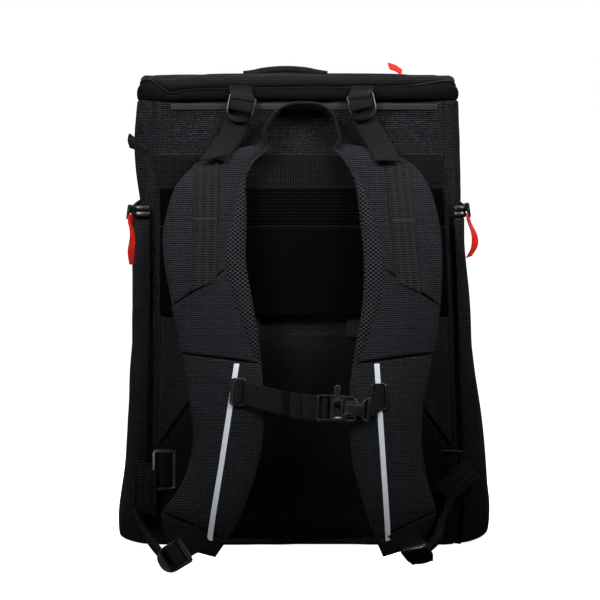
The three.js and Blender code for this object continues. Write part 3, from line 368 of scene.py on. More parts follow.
@dataclass(frozen=True)
class Moulded:
    """Injection-moulded acetal or a smooth coated tape: fine grain, edges a little lighter, partly from wear and
    partly as a painted highlight.
    """

    name: str
    colour: str
    worn_and_lit_edge: str
    roughness: float = 0.34
    grain: float = 0.9
    relief: float = 0.04
    specular: float = 0.5
    sheen: float = 0.0
    metallic: float = 0.0

    def build(self) -> bpy.types.Material:
        """Makes the material."""
        tree = Tree(self.name)
        grain = tree.add("TexNoise", None, {"Scale": 1 / (self.grain * MM), "Detail": 4.0}).outputs[0]
        edge = tree.add("NewGeometry").outputs["Pointiness"]
        # Sharp edges are coloured lighter: partly wear, partly a painted highlight along the rims.
        worn_and_lit_share = tree.add("MapRange", None, {1: 0.51, 2: 0.6}, {0: edge}).outputs[0]
        colour = mottled(tree, self.colour, self.worn_and_lit_edge, worn_and_lit_share, 7, 0.1)
        rough = tree.add("MapRange", None, {3: self.roughness - 0.07, 4: self.roughness + 0.1}, {0: grain}).outputs[0]
        values = {"Strength": 0.5, "Distance": self.relief * MM}
        bump = tree.add("Bump", None, values, {"Height": grain}).outputs[0]
        return tree.surface(
            {"Specular IOR Level": self.specular, "Sheen Weight": self.sheen, "Metallic": self.metallic},
            {"Base Color": colour, "Roughness": rough, "Normal": bump},
        )


Finish = WovenNylon | Webbing | AirMesh | Moulded
# Oxford cloth is matt and beaded, and the panel's finer cloth runs in rows. Moulded acetal and the coated zip cover
# are glossy. The light tape is pale and a little rough from its glass beads.
SHELL_CLOTH = WovenNylon("nylon_oxford_shell", "#020203", "#36373c", 2.3, 2.1, 0.55, 0.45)
# Painted shade: the shell's oxford cloth with a darker crown, for the rim that lies in the lid roll's shade.
RIM_CLOTH = WovenNylon("nylon_oxford_rim_shaded", "#010102", "#111215", 2.3, 2.1, 0.55, 0.4)
# Painted light: the shell's oxford cloth with a lighter crown, to brighten the wings and pockets low on the bag.
WING_CLOTH = WovenNylon("nylon_oxford_wing_lit", "#020203", "#46474d", 2.3, 2.1, 0.55, 0.4)
STRAP_CLOTH = WovenNylon("nylon_oxford_strap", "#020203", "#414248", 2.4, 2.2, 0.55, 0.5)
# Painted shade: the panel's cloth has a near-black crown, for the sleeve and stitched band in the straps' shade.
PANEL_CLOTH = WovenNylon("nylon_fine_panel_shaded", "#010101", "#0a0a0b", 2.2, 2.1, 0.75, specular=0.015)
BLACK_WEBBING = Webbing("polyester_webbing", "#010101", "#252524")
LADDER_WEBBING = Webbing("polyester_ladder_webbing", "#000000", "#3b3b3b", 2.7, 8.0, 0.8, lean=0.35)
RIBBED_WEBBING = Webbing("polyester_ribbed_band", "#000000", "#202020", 2.7, 5.5, 0.8, lean=0.25)
ELASTIC = Webbing("knitted_elastic", "#000000", "#030303", 1.5, 2.4)
SPACER_MESH = AirMesh("polyester_spacer_mesh", "#000000", "#2b2c30")
# Painted shade: the spacer mesh with darker threads, for the back pad in the shade under the sleeve and straps.
PAD_MESH = AirMesh("polyester_back_mesh_shaded", "#000000", "#151617")
ACETAL = Moulded("acetal_moulded_black", "#030304", "#101114", 0.24, specular=0.45)
COATED_FOLD = Moulded("coated_zip_cover", "#070708", "#1a1b1e", 0.26, 2.5, 0.12)
LAMINATE = Moulded("laminated_smooth_strip", "#1b1b1f", "#26262b", 0.5, 1.4, 0.05, 0.15)
LIGHT_TAPE = Moulded("glass_bead_light_tape", "#b4bac0", "#d4d8dc", 0.42, 0.8, 0.05, 0.3)
RED_TAPE = Webbing("grosgrain_red_ribbon", "#a8120a", "#ea2412", 1.3, 9.0, 0.2, 0.6, 0.1)
PIPING = Moulded("coated_piping", "#040405", "#0c0d0e", 0.45, 0.8, 0.05, 0.15)
THREAD = Moulded("polyester_thread", "#1a1b1e", "#34363a", 0.6, 0.6, 0.05, 0.1)
DARK_THREAD = Moulded("polyester_dark_thread", "#050506", "#0c0d0e", 0.6, 0.6, 0.05, 0.1)


class Wardrobe:
    """Materials made once and shared."""

    def __init__(self) -> None:
        """Starts empty."""
        self.made: dict[str, bpy.types.Material] = {}

    def get(self, finish: Finish) -> bpy.types.Material:
        """Gives a finish's material, made at its first use.

        Args:
            finish: The finish.

        Returns:
            Its material.
        """
        if finish.name not in self.made:
            self.made[finish.name] = finish.build()
        return self.made[finish.name]


WARDROBE = Wardrobe()


def settle(
    piece: bpy.types.Object,
    finish: Finish,
    replaces: Sequence[str] = (),
) -> bpy.types.Object:
    """Dresses a finished piece and states what it is.

    Args:
        piece: The piece, in place.
        finish: Its finish.
        replaces: Nodes that it stands for.

    Returns:
        The piece.
    """
    piece.data.materials.clear()
    piece.data.materials.append(WARDROBE.get(finish))
    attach(piece, "root")
    if replaces:
        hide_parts(*replaces)
    log.info("%s: %d faces, %s", piece.name, len(piece.data.polygons), finish.name)
    return piece


# Mesh work


def only(piece: bpy.types.Object) -> bpy.types.Object:
    """Makes a piece the one selected and active object.

    Args:
        piece: The piece.

    Returns:
        The piece.
    """
    bpy.ops.object.select_all(action="DESELECT")
    piece.select_set(True)
    bpy.context.view_layer.objects.active = piece
    return piece


def modify(piece: bpy.types.Object, kind: str, **settings: object) -> bpy.types.Object:
    """Adds a modifier and applies it.

    Args:
        piece: The piece.
        kind: The modifier's type.
        settings: Its settings.

    Returns:
        The piece.
    """
    only(piece)
    modifier = piece.modifiers.new(kind.lower(), kind)
    for key, value in settings.items():
        setattr(modifier, key, value)
    bpy.ops.object.modifier_apply(modifier=modifier.name)
    return piece


def smooth(piece: bpy.types.Object, angle: float = 40) -> bpy.types.Object:
    """Shades a piece smooth up to an angle in degrees.

    Args:
        piece: The piece.
        angle: The sharpest smooth edge.

    Returns:
        The piece.
    """
    only(piece)
    bpy.ops.object.shade_smooth_by_angle(angle=math.radians(angle))
    return piece


def mesh_piece(name: str, points: np.ndarray, faces: list, uvs: np.ndarray | None = None) -> bpy.types.Object:
    """Makes an object from points in millimetres.

    Args:
        name: The piece's name.
        points: Array of points, in millimetres.
        faces: Lists of point indices.
        uvs: One map place for each point, in millimetres.

    Returns:
        The object, with outward faces.
    """
    mesh = bpy.data.meshes.new(name)
    mesh.from_pydata((np.asarray(points, float) * MM).tolist(), [], faces)
    piece = bpy.data.objects.new(name, mesh)
    bpy.context.scene.collection.objects.link(piece)
    if uvs is not None:
        lay_map(piece, np.asarray(uvs, float))
    work = bmesh.new()
    work.from_mesh(mesh)
    bmesh.ops.recalc_face_normals(work, faces=work.faces)
    work.to_mesh(mesh)
    work.free()
    mesh.update()
    return piece


def slab(name: str, top: np.ndarray, bottom: np.ndarray) -> bpy.types.Object:
    """Closed body between two grids of points.

    Args:
        name: The piece's name.
        top: Grid of the outer face, rows by columns by three, in millimetres.
        bottom: Grid of the inner face, of the same shape.

    Returns:
        The object.
    """
    rows, columns = top.shape[:2]
    points = np.concatenate([top.reshape(-1, 3), bottom.reshape(-1, 3)])
    index = np.arange(rows * columns).reshape(rows, columns)
    under = index + rows * columns
    faces = []
    for grid, flip in ((index, False), (under, True)):
        quads = np.stack([grid[:-1, :-1], grid[:-1, 1:], grid[1:, 1:], grid[1:, :-1]], -1).reshape(-1, 4)
        faces += (quads[:, ::-1] if flip else quads).tolist()
    for border in (0, -1, (slice(None), 0), (slice(None), -1)):
        upper, lower = index[border], under[border]
        faces += np.stack([upper[:-1], upper[1:], lower[1:], lower[:-1]], -1).tolist()
    return mesh_piece(name, points, faces)


def quad_copy(node: str, name: str) -> bpy.types.Object:
    """Copy of a node's mesh with its loose triangles merged into quads.

    Args:
        node: The node's name.
        name: The copy's name.

    Returns:
        The copy.
    """
    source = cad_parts[node]
    piece = bpy.data.objects.new(name, source.data.copy())
    bpy.context.scene.collection.objects.link(piece)
    only(piece)
    bpy.ops.object.mode_set(mode="EDIT")
    bpy.ops.mesh.select_all(action="SELECT")
    bpy.ops.mesh.remove_doubles(threshold=0.02 * MM)
    bpy.ops.mesh.tris_convert_to_quads(face_threshold=math.radians(75), shape_threshold=math.radians(75))
    bpy.ops.object.mode_set(mode="OBJECT")
    return piece


def crease(piece: bpy.types.Object, angle: float, weight: float) -> bpy.types.Object:
    """Holds the edges that are sharper than an angle when the piece is subdivided.

    Args:
        piece: The piece.
        angle: In degrees.
        weight: From 0, soft, to 1, sharp.

    Returns:
        The piece.
    """
    work = bmesh.new()
    work.from_mesh(piece.data)
    layer = work.edges.layers.float.get("crease_edge") or work.edges.layers.float.new("crease_edge")
    for edge in work.edges:
        if len(edge.link_faces) == 2 and edge.calc_face_angle(0) > math.radians(angle):
            edge[layer] = weight
    work.to_mesh(piece.data)
    work.free()
    return piece


def read_points(piece: bpy.types.Object, name: str = "co") -> np.ndarray:
    """Vertices or vertex normals of a piece.

    Args:
        piece: The piece.
        name: What to read, co or normal.

    Returns:
        Array of points in metres, or of unit normals.
    """
    values = np.zeros(len(piece.data.vertices) * 3, np.float64)
    piece.data.vertices.foreach_get(name, values)
    return values.reshape(-1, 3)


def raise_points(piece: bpy.types.Object, lift: np.ndarray) -> bpy.types.Object:
    """Moves the vertices along their normals.

    Args:
        piece: The piece.
        lift: Height for each vertex, in millimetres.

    Returns:
        The piece.
    """
    moved = read_points(piece) + read_points(piece, "normal") * lift[:, None] * MM
    piece.data.vertices.foreach_set("co", moved.ravel())
    piece.data.update()
    return piece


@dataclass(frozen=True)
class Fold:
    """A crease or ridge in cloth along a line."""

    start: Point
    end: Point
    width: float
    height: float

    def lift(self, points: np.ndarray) -> np.ndarray:
        """Height that the fold gives each point.

        Args:
            points: Array of points in millimetres.

        Returns:
            Heights in millimetres.
        """
        a, b = np.array(self.start), np.array(self.end)
        along = np.clip(((points - a) @ (b - a)) / ((b - a) @ (b - a)), 0, 1)
        away = np.linalg.norm(points - a - along[:, None] * (b - a), axis=1)
        ends = np.sin(np.pi * np.clip(along, 0.02, 0.98)) ** 0.5
        return self.height * ends * np.exp(-((away / self.width) ** 2))


def ripples(points: np.ndarray, size: float, height: float, seed: int) -> np.ndarray:
    """Uneven slack of cloth, the same at each run.

    Args:
        points: Array of points in millimetres.
        size: Length of a ripple.
        height: Its height.
        seed: Which pattern.

    Returns:
        Heights in millimetres.
    """
    draw = np.random.RandomState(seed)
    total = np.zeros(len(points))
    for _ in range(7):
        direction = draw.normal(size=3)
        direction /= np.linalg.norm(direction)
        length = size * draw.uniform(0.7, 1.8)
        total += np.sin(points @ direction * 2 * np.pi / length + draw.uniform(0, 2 * np.pi))
    return height * total / 3


def rumple(piece: bpy.types.Object, folds: Iterable[Fold], size: float, height: float, seed: int) -> bpy.types.Object:
    """Gives a piece its folds and slack.

    Args:
        piece: The piece.
        folds: Its folds.
        size: Length of its ripples.
        height: Their height.
        seed: Which ripples.

    Returns:
        The piece.
    """
    points = read_points(piece) / MM
    lift = ripples(points, size, height, seed)
    for fold in folds:
        lift += fold.lift(points)
    return raise_points(piece, lift)


def spline(points: Sequence[Point], shares: np.ndarray) -> np.ndarray:
    """Places on the smooth curve through points, as the part's own curves run.

    Args:
        points: The points.
        shares: Shares of the way, from 0 to 1.

    Returns:
        Array of points.
    """
    knots = np.array(points, float)
    knots = np.vstack([2 * knots[0] - knots[1], knots, 2 * knots[-1] - knots[-2]])
    last = len(points) - 1
    result = []
    for share in shares:
        i = min(int(share * last), last - 1)
        t = share * last - i
        p0, p1, p2, p3 = knots[i : i + 4]
        d0, d1, d2 = (max(np.linalg.norm(b - a) ** 0.5, 1e-4) for a, b in ((p0, p1), (p1, p2), (p2, p3)))
        m1 = ((p1 - p0) / d0 - (p2 - p0) / (d0 + d1) + (p2 - p1) / d1) * d1
        m2 = ((p2 - p1) / d1 - (p3 - p1) / (d1 + d2) + (p3 - p2) / d2) * d1
        c2, c3 = -3 * p1 + 3 * p2 - 2 * m1 - m2, 2 * p1 - 2 * p2 + m1 + m2
        result.append(p1 + m1 * t + c2 * t**2 + c3 * t**3)
    return np.array(result)


def unit(vectors: np.ndarray) -> np.ndarray:
    """Vectors at length one."""
    return vectors / np.linalg.norm(vectors, axis=-1, keepdims=True)


def flat_section(width: float, thick: float, columns: int = 8) -> np.ndarray:
    """Outline of webbing cut across: flat faces and round edges.

    Args:
        width: Its width.
        thick: Its thickness.
        columns: Faces across.

    Returns:
        Array of places across and above the middle, in a closed ring.
    """
    half, radius = width / 2 - thick / 2, thick / 2
    xs = np.linspace(-half, half, columns + 1)
    turn = np.linspace(np.pi / 2, -np.pi / 2, 5)[1:-1]
    right = np.stack([half + radius * np.cos(turn), radius * np.sin(turn)], 1)
    left = np.stack([-half - radius * np.cos(turn), -radius * np.sin(turn)], 1)
    top = np.stack([xs, np.full_like(xs, radius)], 1)
    bottom = np.stack([xs[::-1], np.full_like(xs, -radius)], 1)
    return np.concatenate([top, right, bottom, left])


@dataclass(frozen=True)
class Band:
    """A length of webbing or tape along a smooth curve."""

    name: str
    points: Sequence[Point]
    across: Sequence[Point]
    width: float
    thick: float
    rows: int = 40

    def build(self) -> bpy.types.Object:
        """Sweeps the band's section along its curve.

        Returns:
            The object, with a map across and along it.
        """
        shares = np.linspace(0, 1, self.rows + 1)
        centres = spline(self.points, shares)
        step = 1 / (4 * self.rows)
        after, before = (spline(self.points, np.clip(shares + way, 0, 1)) for way in (step, -step))
        tangents = unit(after - before)
        stops = np.linspace(0, 1, len(self.across))
        wide = unit(np.stack([np.interp(shares, stops, [a[k] for a in self.across]) for k in range(3)], 1))
        normals = unit(np.cross(tangents, wide))
        return sweep(self.name, centres, wide, normals, flat_section(self.width, self.thick))


def sweep(
    name: str, centres: np.ndarray, wide: np.ndarray, normals: np.ndarray, section: np.ndarray
) -> bpy.types.Object:
    """Closed body of a section carried along a line.

    Args:
        name: The piece's name.
        centres: Places along the line, in millimetres.
        wide: Direction of the width at each place.
        normals: Direction of the thickness at each place.
        section: Places across and above the middle.

    Returns:
        The object, with a map across and along it.
    """
    rows, count = len(centres), len(section)
    points = centres[:, None] + wide[:, None] * section[None, :, :1] + normals[:, None] * section[None, :, 1:]
    run = np.concatenate([[0], np.cumsum(np.linalg.norm(np.diff(centres, axis=0), axis=1))])
    uvs = np.stack(np.broadcast_arrays(section[:, 0], run[:, None]), -1)
    index = np.arange(rows * count).reshape(rows, count)
    following = np.roll(index, -1, axis=1)
    faces = np.stack([index[:-1], following[:-1], following[1:], index[1:]], -1).reshape(-1, 4).tolist()
    faces += [index[0].tolist(), index[-1][::-1].tolist()]
    return smooth(mesh_piece(name, points.reshape(-1, 3), faces, uvs.reshape(-1, 2)))


def stitches(name: str, runs: Iterable[np.ndarray], pitch: float = 3.2, gauge: float = 0.55) -> bpy.types.Object:
    """Rows of sewn stitches along lines of places that lie on the cloth.

    Args:
        name: The piece's name.
        runs: Arrays of places in millimetres.
        pitch: Distance from stitch to stitch.
        gauge: Thickness of the thread.

    Returns:
        The object.
    """
    points, faces = [], []
    ring = np.linspace(0, 2 * np.pi, 7)[:-1]
    for run in runs:
        lengths = np.concatenate([[0], np.cumsum(np.linalg.norm(np.diff(run, axis=0), axis=1))])
        for start in np.arange(pitch * 0.2, lengths[-1] - pitch * 0.8, pitch):
            stop = start + pitch * 0.72
            ends = [np.array([np.interp(at, lengths, run[:, k]) for k in range(3)]) for at in (start, stop)]
            along = unit(ends[1] - ends[0])
            side = unit(np.cross(along, [0.31, 0.9, 0.29]))
            up = np.cross(along, side)
            base = len(points)
            for share, size in ((0, 0.35), (0.25, 1), (0.75, 1), (1, 0.35)):
                middle = ends[0] + (ends[1] - ends[0]) * share
                points += [middle + (side * np.cos(a) + up * np.sin(a)) * gauge / 2 * size for a in ring]
            for j in range(3):
                for i in range(6):
                    k = (i + 1) % 6
                    faces.append([base + j * 6 + i, base + j * 6 + k, base + j * 6 + 6 + k, base + j * 6 + 6 + i])
            faces += [list(range(base + 5, base - 1, -1)), list(range(base + 18, base + 24))]
    return smooth(mesh_piece(name, np.array(points), faces), 80)


def lay_map(piece: bpy.types.Object, flat: np.ndarray) -> bpy.types.Object:
    """Gives a piece the map that its webbing finish follows.

    Args:
        piece: The piece.
        flat: Across and along for each vertex, in millimetres.

    Returns:
        The piece.
    """
    layer = piece.data.uv_layers.new(name="cloth")
    corners = np.zeros(len(piece.data.loops), np.int32)
    piece.data.loops.foreach_get("vertex_index", corners)
    layer.data.foreach_set("uv", (flat[corners] * MM).ravel())
    return piece


def cord(name: str, path: np.ndarray, gauge: float) -> bpy.types.Object:
    """Round cord along a line of places.

    Args:
        name: The piece's name.
        path: The places, in millimetres.
        gauge: Its thickness.

    Returns:
        The object.
    """
    tangents = unit(np.gradient(path, axis=0))
    wide = unit(np.cross(tangents, [0.2, 0.3, 0.93]))
    turn = np.linspace(0, 2 * np.pi, 9)[:-1]
    section = gauge / 2 * np.stack([np.cos(turn), np.sin(turn)], 1)
    return sweep(name, path, wide, np.cross(tangents, wide), section)


def inflate(
    piece: bpy.types.Object, voxel: float, cap: float, pressure: float = 4.0, steps: int = 20
) -> bpy.types.Object:
    """Swells a padded piece as filled cloth does, by a short cloth simulation.

    Args:
        piece: The piece.
        voxel: Size of its faces in the simulation, in millimetres.
        cap: How far a point may move.
        pressure: Pressure inside.
        steps: Frames of simulation.

    Returns:
        The piece.
    """
    modify(piece, "REMESH", mode="VOXEL", voxel_size=voxel * MM)
    before = read_points(piece)
    only(piece)
    cloth = piece.modifiers.new("cloth", "CLOTH")
    cloth.settings.use_pressure = True
    cloth.settings.uniform_pressure_force = pressure
    cloth.settings.effector_weights.gravity = 0
    scene = bpy.context.scene
    for step in range(1, steps + 1):
        scene.frame_set(step)
    bpy.ops.object.modifier_apply(modifier=cloth.name)
    scene.frame_set(1)
    moved = read_points(piece) - before
    far = np.linalg.norm(moved, axis=1, keepdims=True)
    moved *= np.minimum(1, cap * MM / np.maximum(far, 1e-9))
    piece.data.vertices.foreach_set("co", (before + moved).ravel())
    piece.data.update()
    return modify(piece, "SUBSURF", levels=1, render_levels=1)


# Moulded pieces, built upright around their own middle with the front towards -Y


@dataclass(frozen=True)
class Pose:
    """Where a moulded piece sits."""

    x: float
    y: float
    z: float
    roll: float = 0.0
    lean: float = 0.0

    def turn(self) -> Matrix:
        """Rotation: anticlockwise roll as seen, then its top leaned back."""
        return Matrix.Rotation(math.radians(-self.lean), 3, "X") @ Matrix.Rotation(math.radians(-self.roll), 3, "Y")

    @property
    def right(self) -> Point:
        """Direction to the piece's own right."""
        return tuple(self.turn() @ Vector((1, 0, 0)))

    def place(self, piece: bpy.types.Object) -> bpy.types.Object:
        """Sets a finished piece in its place.

        Args:
            piece: The piece.

        Returns:
            The piece.
        """
        piece.rotation_euler = self.turn().to_euler()
        piece.location = Vector((self.x, self.y, self.z)) * MM
        only(piece)
        bpy.ops.object.transform_apply(location=True, rotation=True, scale=True)
        return piece

    def point(self, x: float, y: float, z: float) -> Point:
        """Place of a local point.

        Args:
            x: Right of the middle.
            y: Behind the middle.
            z: Above the middle.

        Returns:
            The place.
        """
        return tuple(self.turn() @ Vector((x, y, z)) + Vector((self.x, self.y, self.z)))

    def wrap(self, name: str, path: Sequence[Point], across: Point, width: float, thick: float) -> bpy.types.Object:
        """Webbing led around a bar of the piece.

        Args:
            name: The piece's name.
            path: Local places of its middle.
            across: Local direction of its width.
            width: Its width.
            thick: Its thickness.

        Returns:
            The object.
        """
        wide = tuple(self.turn() @ Vector(across))
        return Band(name, [self.point(*p) for p in path], (wide, wide), width, thick, 24).build()


def rounded_outline(
    width: float, height: float, radii: Sequence[float], middle: tuple[float, float] = (0, 0)
) -> list[tuple[float, float]]:
    """Outline of a box with round corners.

    Args:
        width: Its width.
        height: Its height.
        radii: Corner radii, from the upper right anticlockwise.
        middle: Its middle.

    Returns:
        Places x, z anticlockwise.
    """
    outline = []
    for i, (sx, sz) in enumerate(((1, 1), (-1, 1), (-1, -1), (1, -1))):
        r = radii[i]
        for a in np.linspace(i * np.pi / 2, (i + 1) * np.pi / 2, 7 if r > 3 else 4):
            x = middle[0] + sx * (width / 2 - r) + r * math.cos(a)
            z = middle[1] + sz * (height / 2 - r) + r * math.sin(a)
            outline.append((x, z))
    return outline


def cutout(
    name: str, outline: Sequence[tuple[float, float]], thick: float, forward: float = 0.0
) -> bpy.types.Object:
    """Plate cut to an outline.

    Args:
        name: The piece's name.
        outline: Places x, z around it.
        thick: Its thickness.
        forward: How far its middle stands in front of y 0.

    Returns:
        The object.
    """
    points = [(x, -forward - thick / 2, z) for x, z in outline]
    piece = only(mesh_piece(name, np.array(points), [list(range(len(points)))]))
    bpy.ops.object.mode_set(mode="EDIT")
    bpy.ops.mesh.select_all(action="SELECT")
    bpy.ops.mesh.extrude_region_move(TRANSFORM_OT_translate={"value": (0, thick * MM, 0)})
    bpy.ops.mesh.select_all(action="SELECT")
    bpy.ops.mesh.normals_make_consistent(inside=False)
    bpy.ops.object.mode_set(mode="OBJECT")
    return piece


def carve(piece: bpy.types.Object, *cutters: bpy.types.Object) -> bpy.types.Object:
    """Cuts pieces out of a piece.

    Args:
        piece: The piece.
        cutters: What is cut out, used up.

    Returns:
        The piece.
    """
    for cutter in cutters:
        modify(piece, "BOOLEAN", operation="DIFFERENCE", object=cutter, solver="EXACT")
        bpy.data.objects.remove(cutter)
    return piece


def fuse(name: str, *pieces: bpy.types.Object) -> bpy.types.Object:
    """Joins pieces of one moulding.

    Args:
        name: The moulding's name.
        pieces: Its pieces.

    Returns:
        The joined object.
    """
    bpy.ops.object.select_all(action="DESELECT")
    for piece in pieces:
        piece.select_set(True)
    bpy.context.view_layer.objects.active = pieces[0]
    bpy.ops.object.join()
    pieces[0].name = name
    return pieces[0]


def soften(piece: bpy.types.Object, width: float, angle: float = 40) -> bpy.types.Object:
    """Rounds the sharp edges as a mould does.

    Args:
        piece: The piece.
        width: Width of the rounding, in millimetres.
        angle: Edges sharper than this are rounded.

    Returns:
        The piece.
    """
    limit = {"limit_method": "ANGLE", "angle_limit": math.radians(angle), "use_clamp_overlap": True}
    return smooth(modify(piece, "BEVEL", width=width * MM, segments=3, **limit), 50)


def rod(name: str, radius: float, length: float, at: Point, upright: bool = False) -> bpy.types.Object:
    """Round bar along x, or upright.

    Args:
        name: The piece's name.
        radius: Its radius.
        length: Its length.
        at: Its middle.
        upright: Whether it stands.

    Returns:
        The object.
    """
    bpy.ops.object.select_all(action="DESELECT")
    turn = (0, 0, 0) if upright else (0, math.pi / 2, 0)
    size = {"radius": radius * MM, "depth": length * MM}
    bpy.ops.mesh.primitive_cylinder_add(vertices=20, location=Vector(at) * MM, rotation=turn, **size)
    piece = bpy.context.object
    piece.name = name
    bpy.ops.object.transform_apply(location=True, rotation=True, scale=True)
    return piece


def open_frame(
    name: str, size: tuple[float, float], rim: float, corners: tuple[float, float], thick: float, edge: float
) -> bpy.types.Object:
    """Flat frame around a window.

    Args:
        name: The piece's name.
        size: Its width and height.
        rim: Width of its rim.
        corners: Radii of its outer and inner corners.
        thick: Its thickness.
        edge: Rounding of its edges.

    Returns:
        The object.
    """
    plate = cutout(name, rounded_outline(*size, (corners[0],) * 4), thick)
    window = rounded_outline(size[0] - 2 * rim, size[1] - 2 * rim, (corners[1],) * 4)
    return soften(carve(plate, cutout("window", window, 4 * thick)), edge)


@dataclass(frozen=True)
class LadderLock:
    """Ladder-lock: frame with a top bar, a ribbed middle bar and a curved thumb plate."""

    name: str
    pose: Pose
    width: float = 29.0
    height: float = 29.0
    rail: float = 2.6
    thick: float = 3.4
    plate: float = 11.0
    head: float = 2.8

    def build(self) -> None:
        """Makes and dresses the lock, and the webbing around its middle bar."""
        w, h = self.width, self.height
        inside = w - 2 * self.rail
        opening = h - self.plate - self.head
        middle = h / 2 - self.head - opening / 2
        body = cutout(self.name + "_frame", rounded_outline(w, h, (3, 3, 12.5, 12.5)), self.thick)
        carve(body, cutout("window", rounded_outline(inside, opening, (1,) * 4, (0, middle)), 3 * self.thick))
        soften(body, 0.8)
        outline = rounded_outline(w - 5, self.plate - 3.4, (2, 2, 9.5, 9.5), (0, -h / 2 + self.plate / 2))
        thumb = soften(cutout("thumb", outline, 1.2, self.thick / 2), 0.5)
        bar = soften(rod("bar", 1.7, w - 2, (0, 0.4, middle - 1)), 0.2)
        lock = self.pose.place(fuse(self.name + "_body", body, thumb, bar))
        settle(smooth(lock, 45), ACETAL, [self.name])
        low, high = middle - opening / 2, middle + opening / 2
        path = [
            (0, 3.2, low - 1.6), (0, 0.0, low + 0.3), (0, -2.6, low + 3), (0, -3.0, middle),
            (0, -2.4, middle + 3), (0, -0.4, high - 2.6), (0, 3.4, high - 1.2),
        ]
        loop = self.pose.wrap(self.name + "_wrap", path, (1, 0, 0), inside - 0.2, 1.5)
        settle(loop, BLACK_WEBBING)


@dataclass(frozen=True)
class SlottedPlate:
    """Flat frame on the pad's corner with webbing around its upright bar."""

    name: str
    pose: Pose
    width: float = 27.0
    height: float = 46.0
    rim: float = 5.2

    def build(self) -> None:
        """Makes and dresses the plate and its webbing."""
        plate = open_frame(self.name + "_frame", (self.width, self.height), self.rim, (5, 1.4), 3.2, 0.9)
        bar = soften(rod("bar", 1.4, self.height - 6, (0, 0.6, 0), True), 0.2)
        settle(self.pose.place(fuse(self.name + "_body", plate, bar)), ACETAL, [self.name])
        path = [(-5.8, 1.6, 0), (-4.6, -0.6, 0), (-1.5, -2.2, 0), (1.5, -2.2, 0), (4.2, -0.8, 0), (5.2, 1.6, 0)]
        wrap = self.pose.wrap(self.name + "_wrap", path, (0, 0, 1), self.height - 2 * self.rim - 2, 1.5)
        settle(wrap, BLACK_WEBBING)


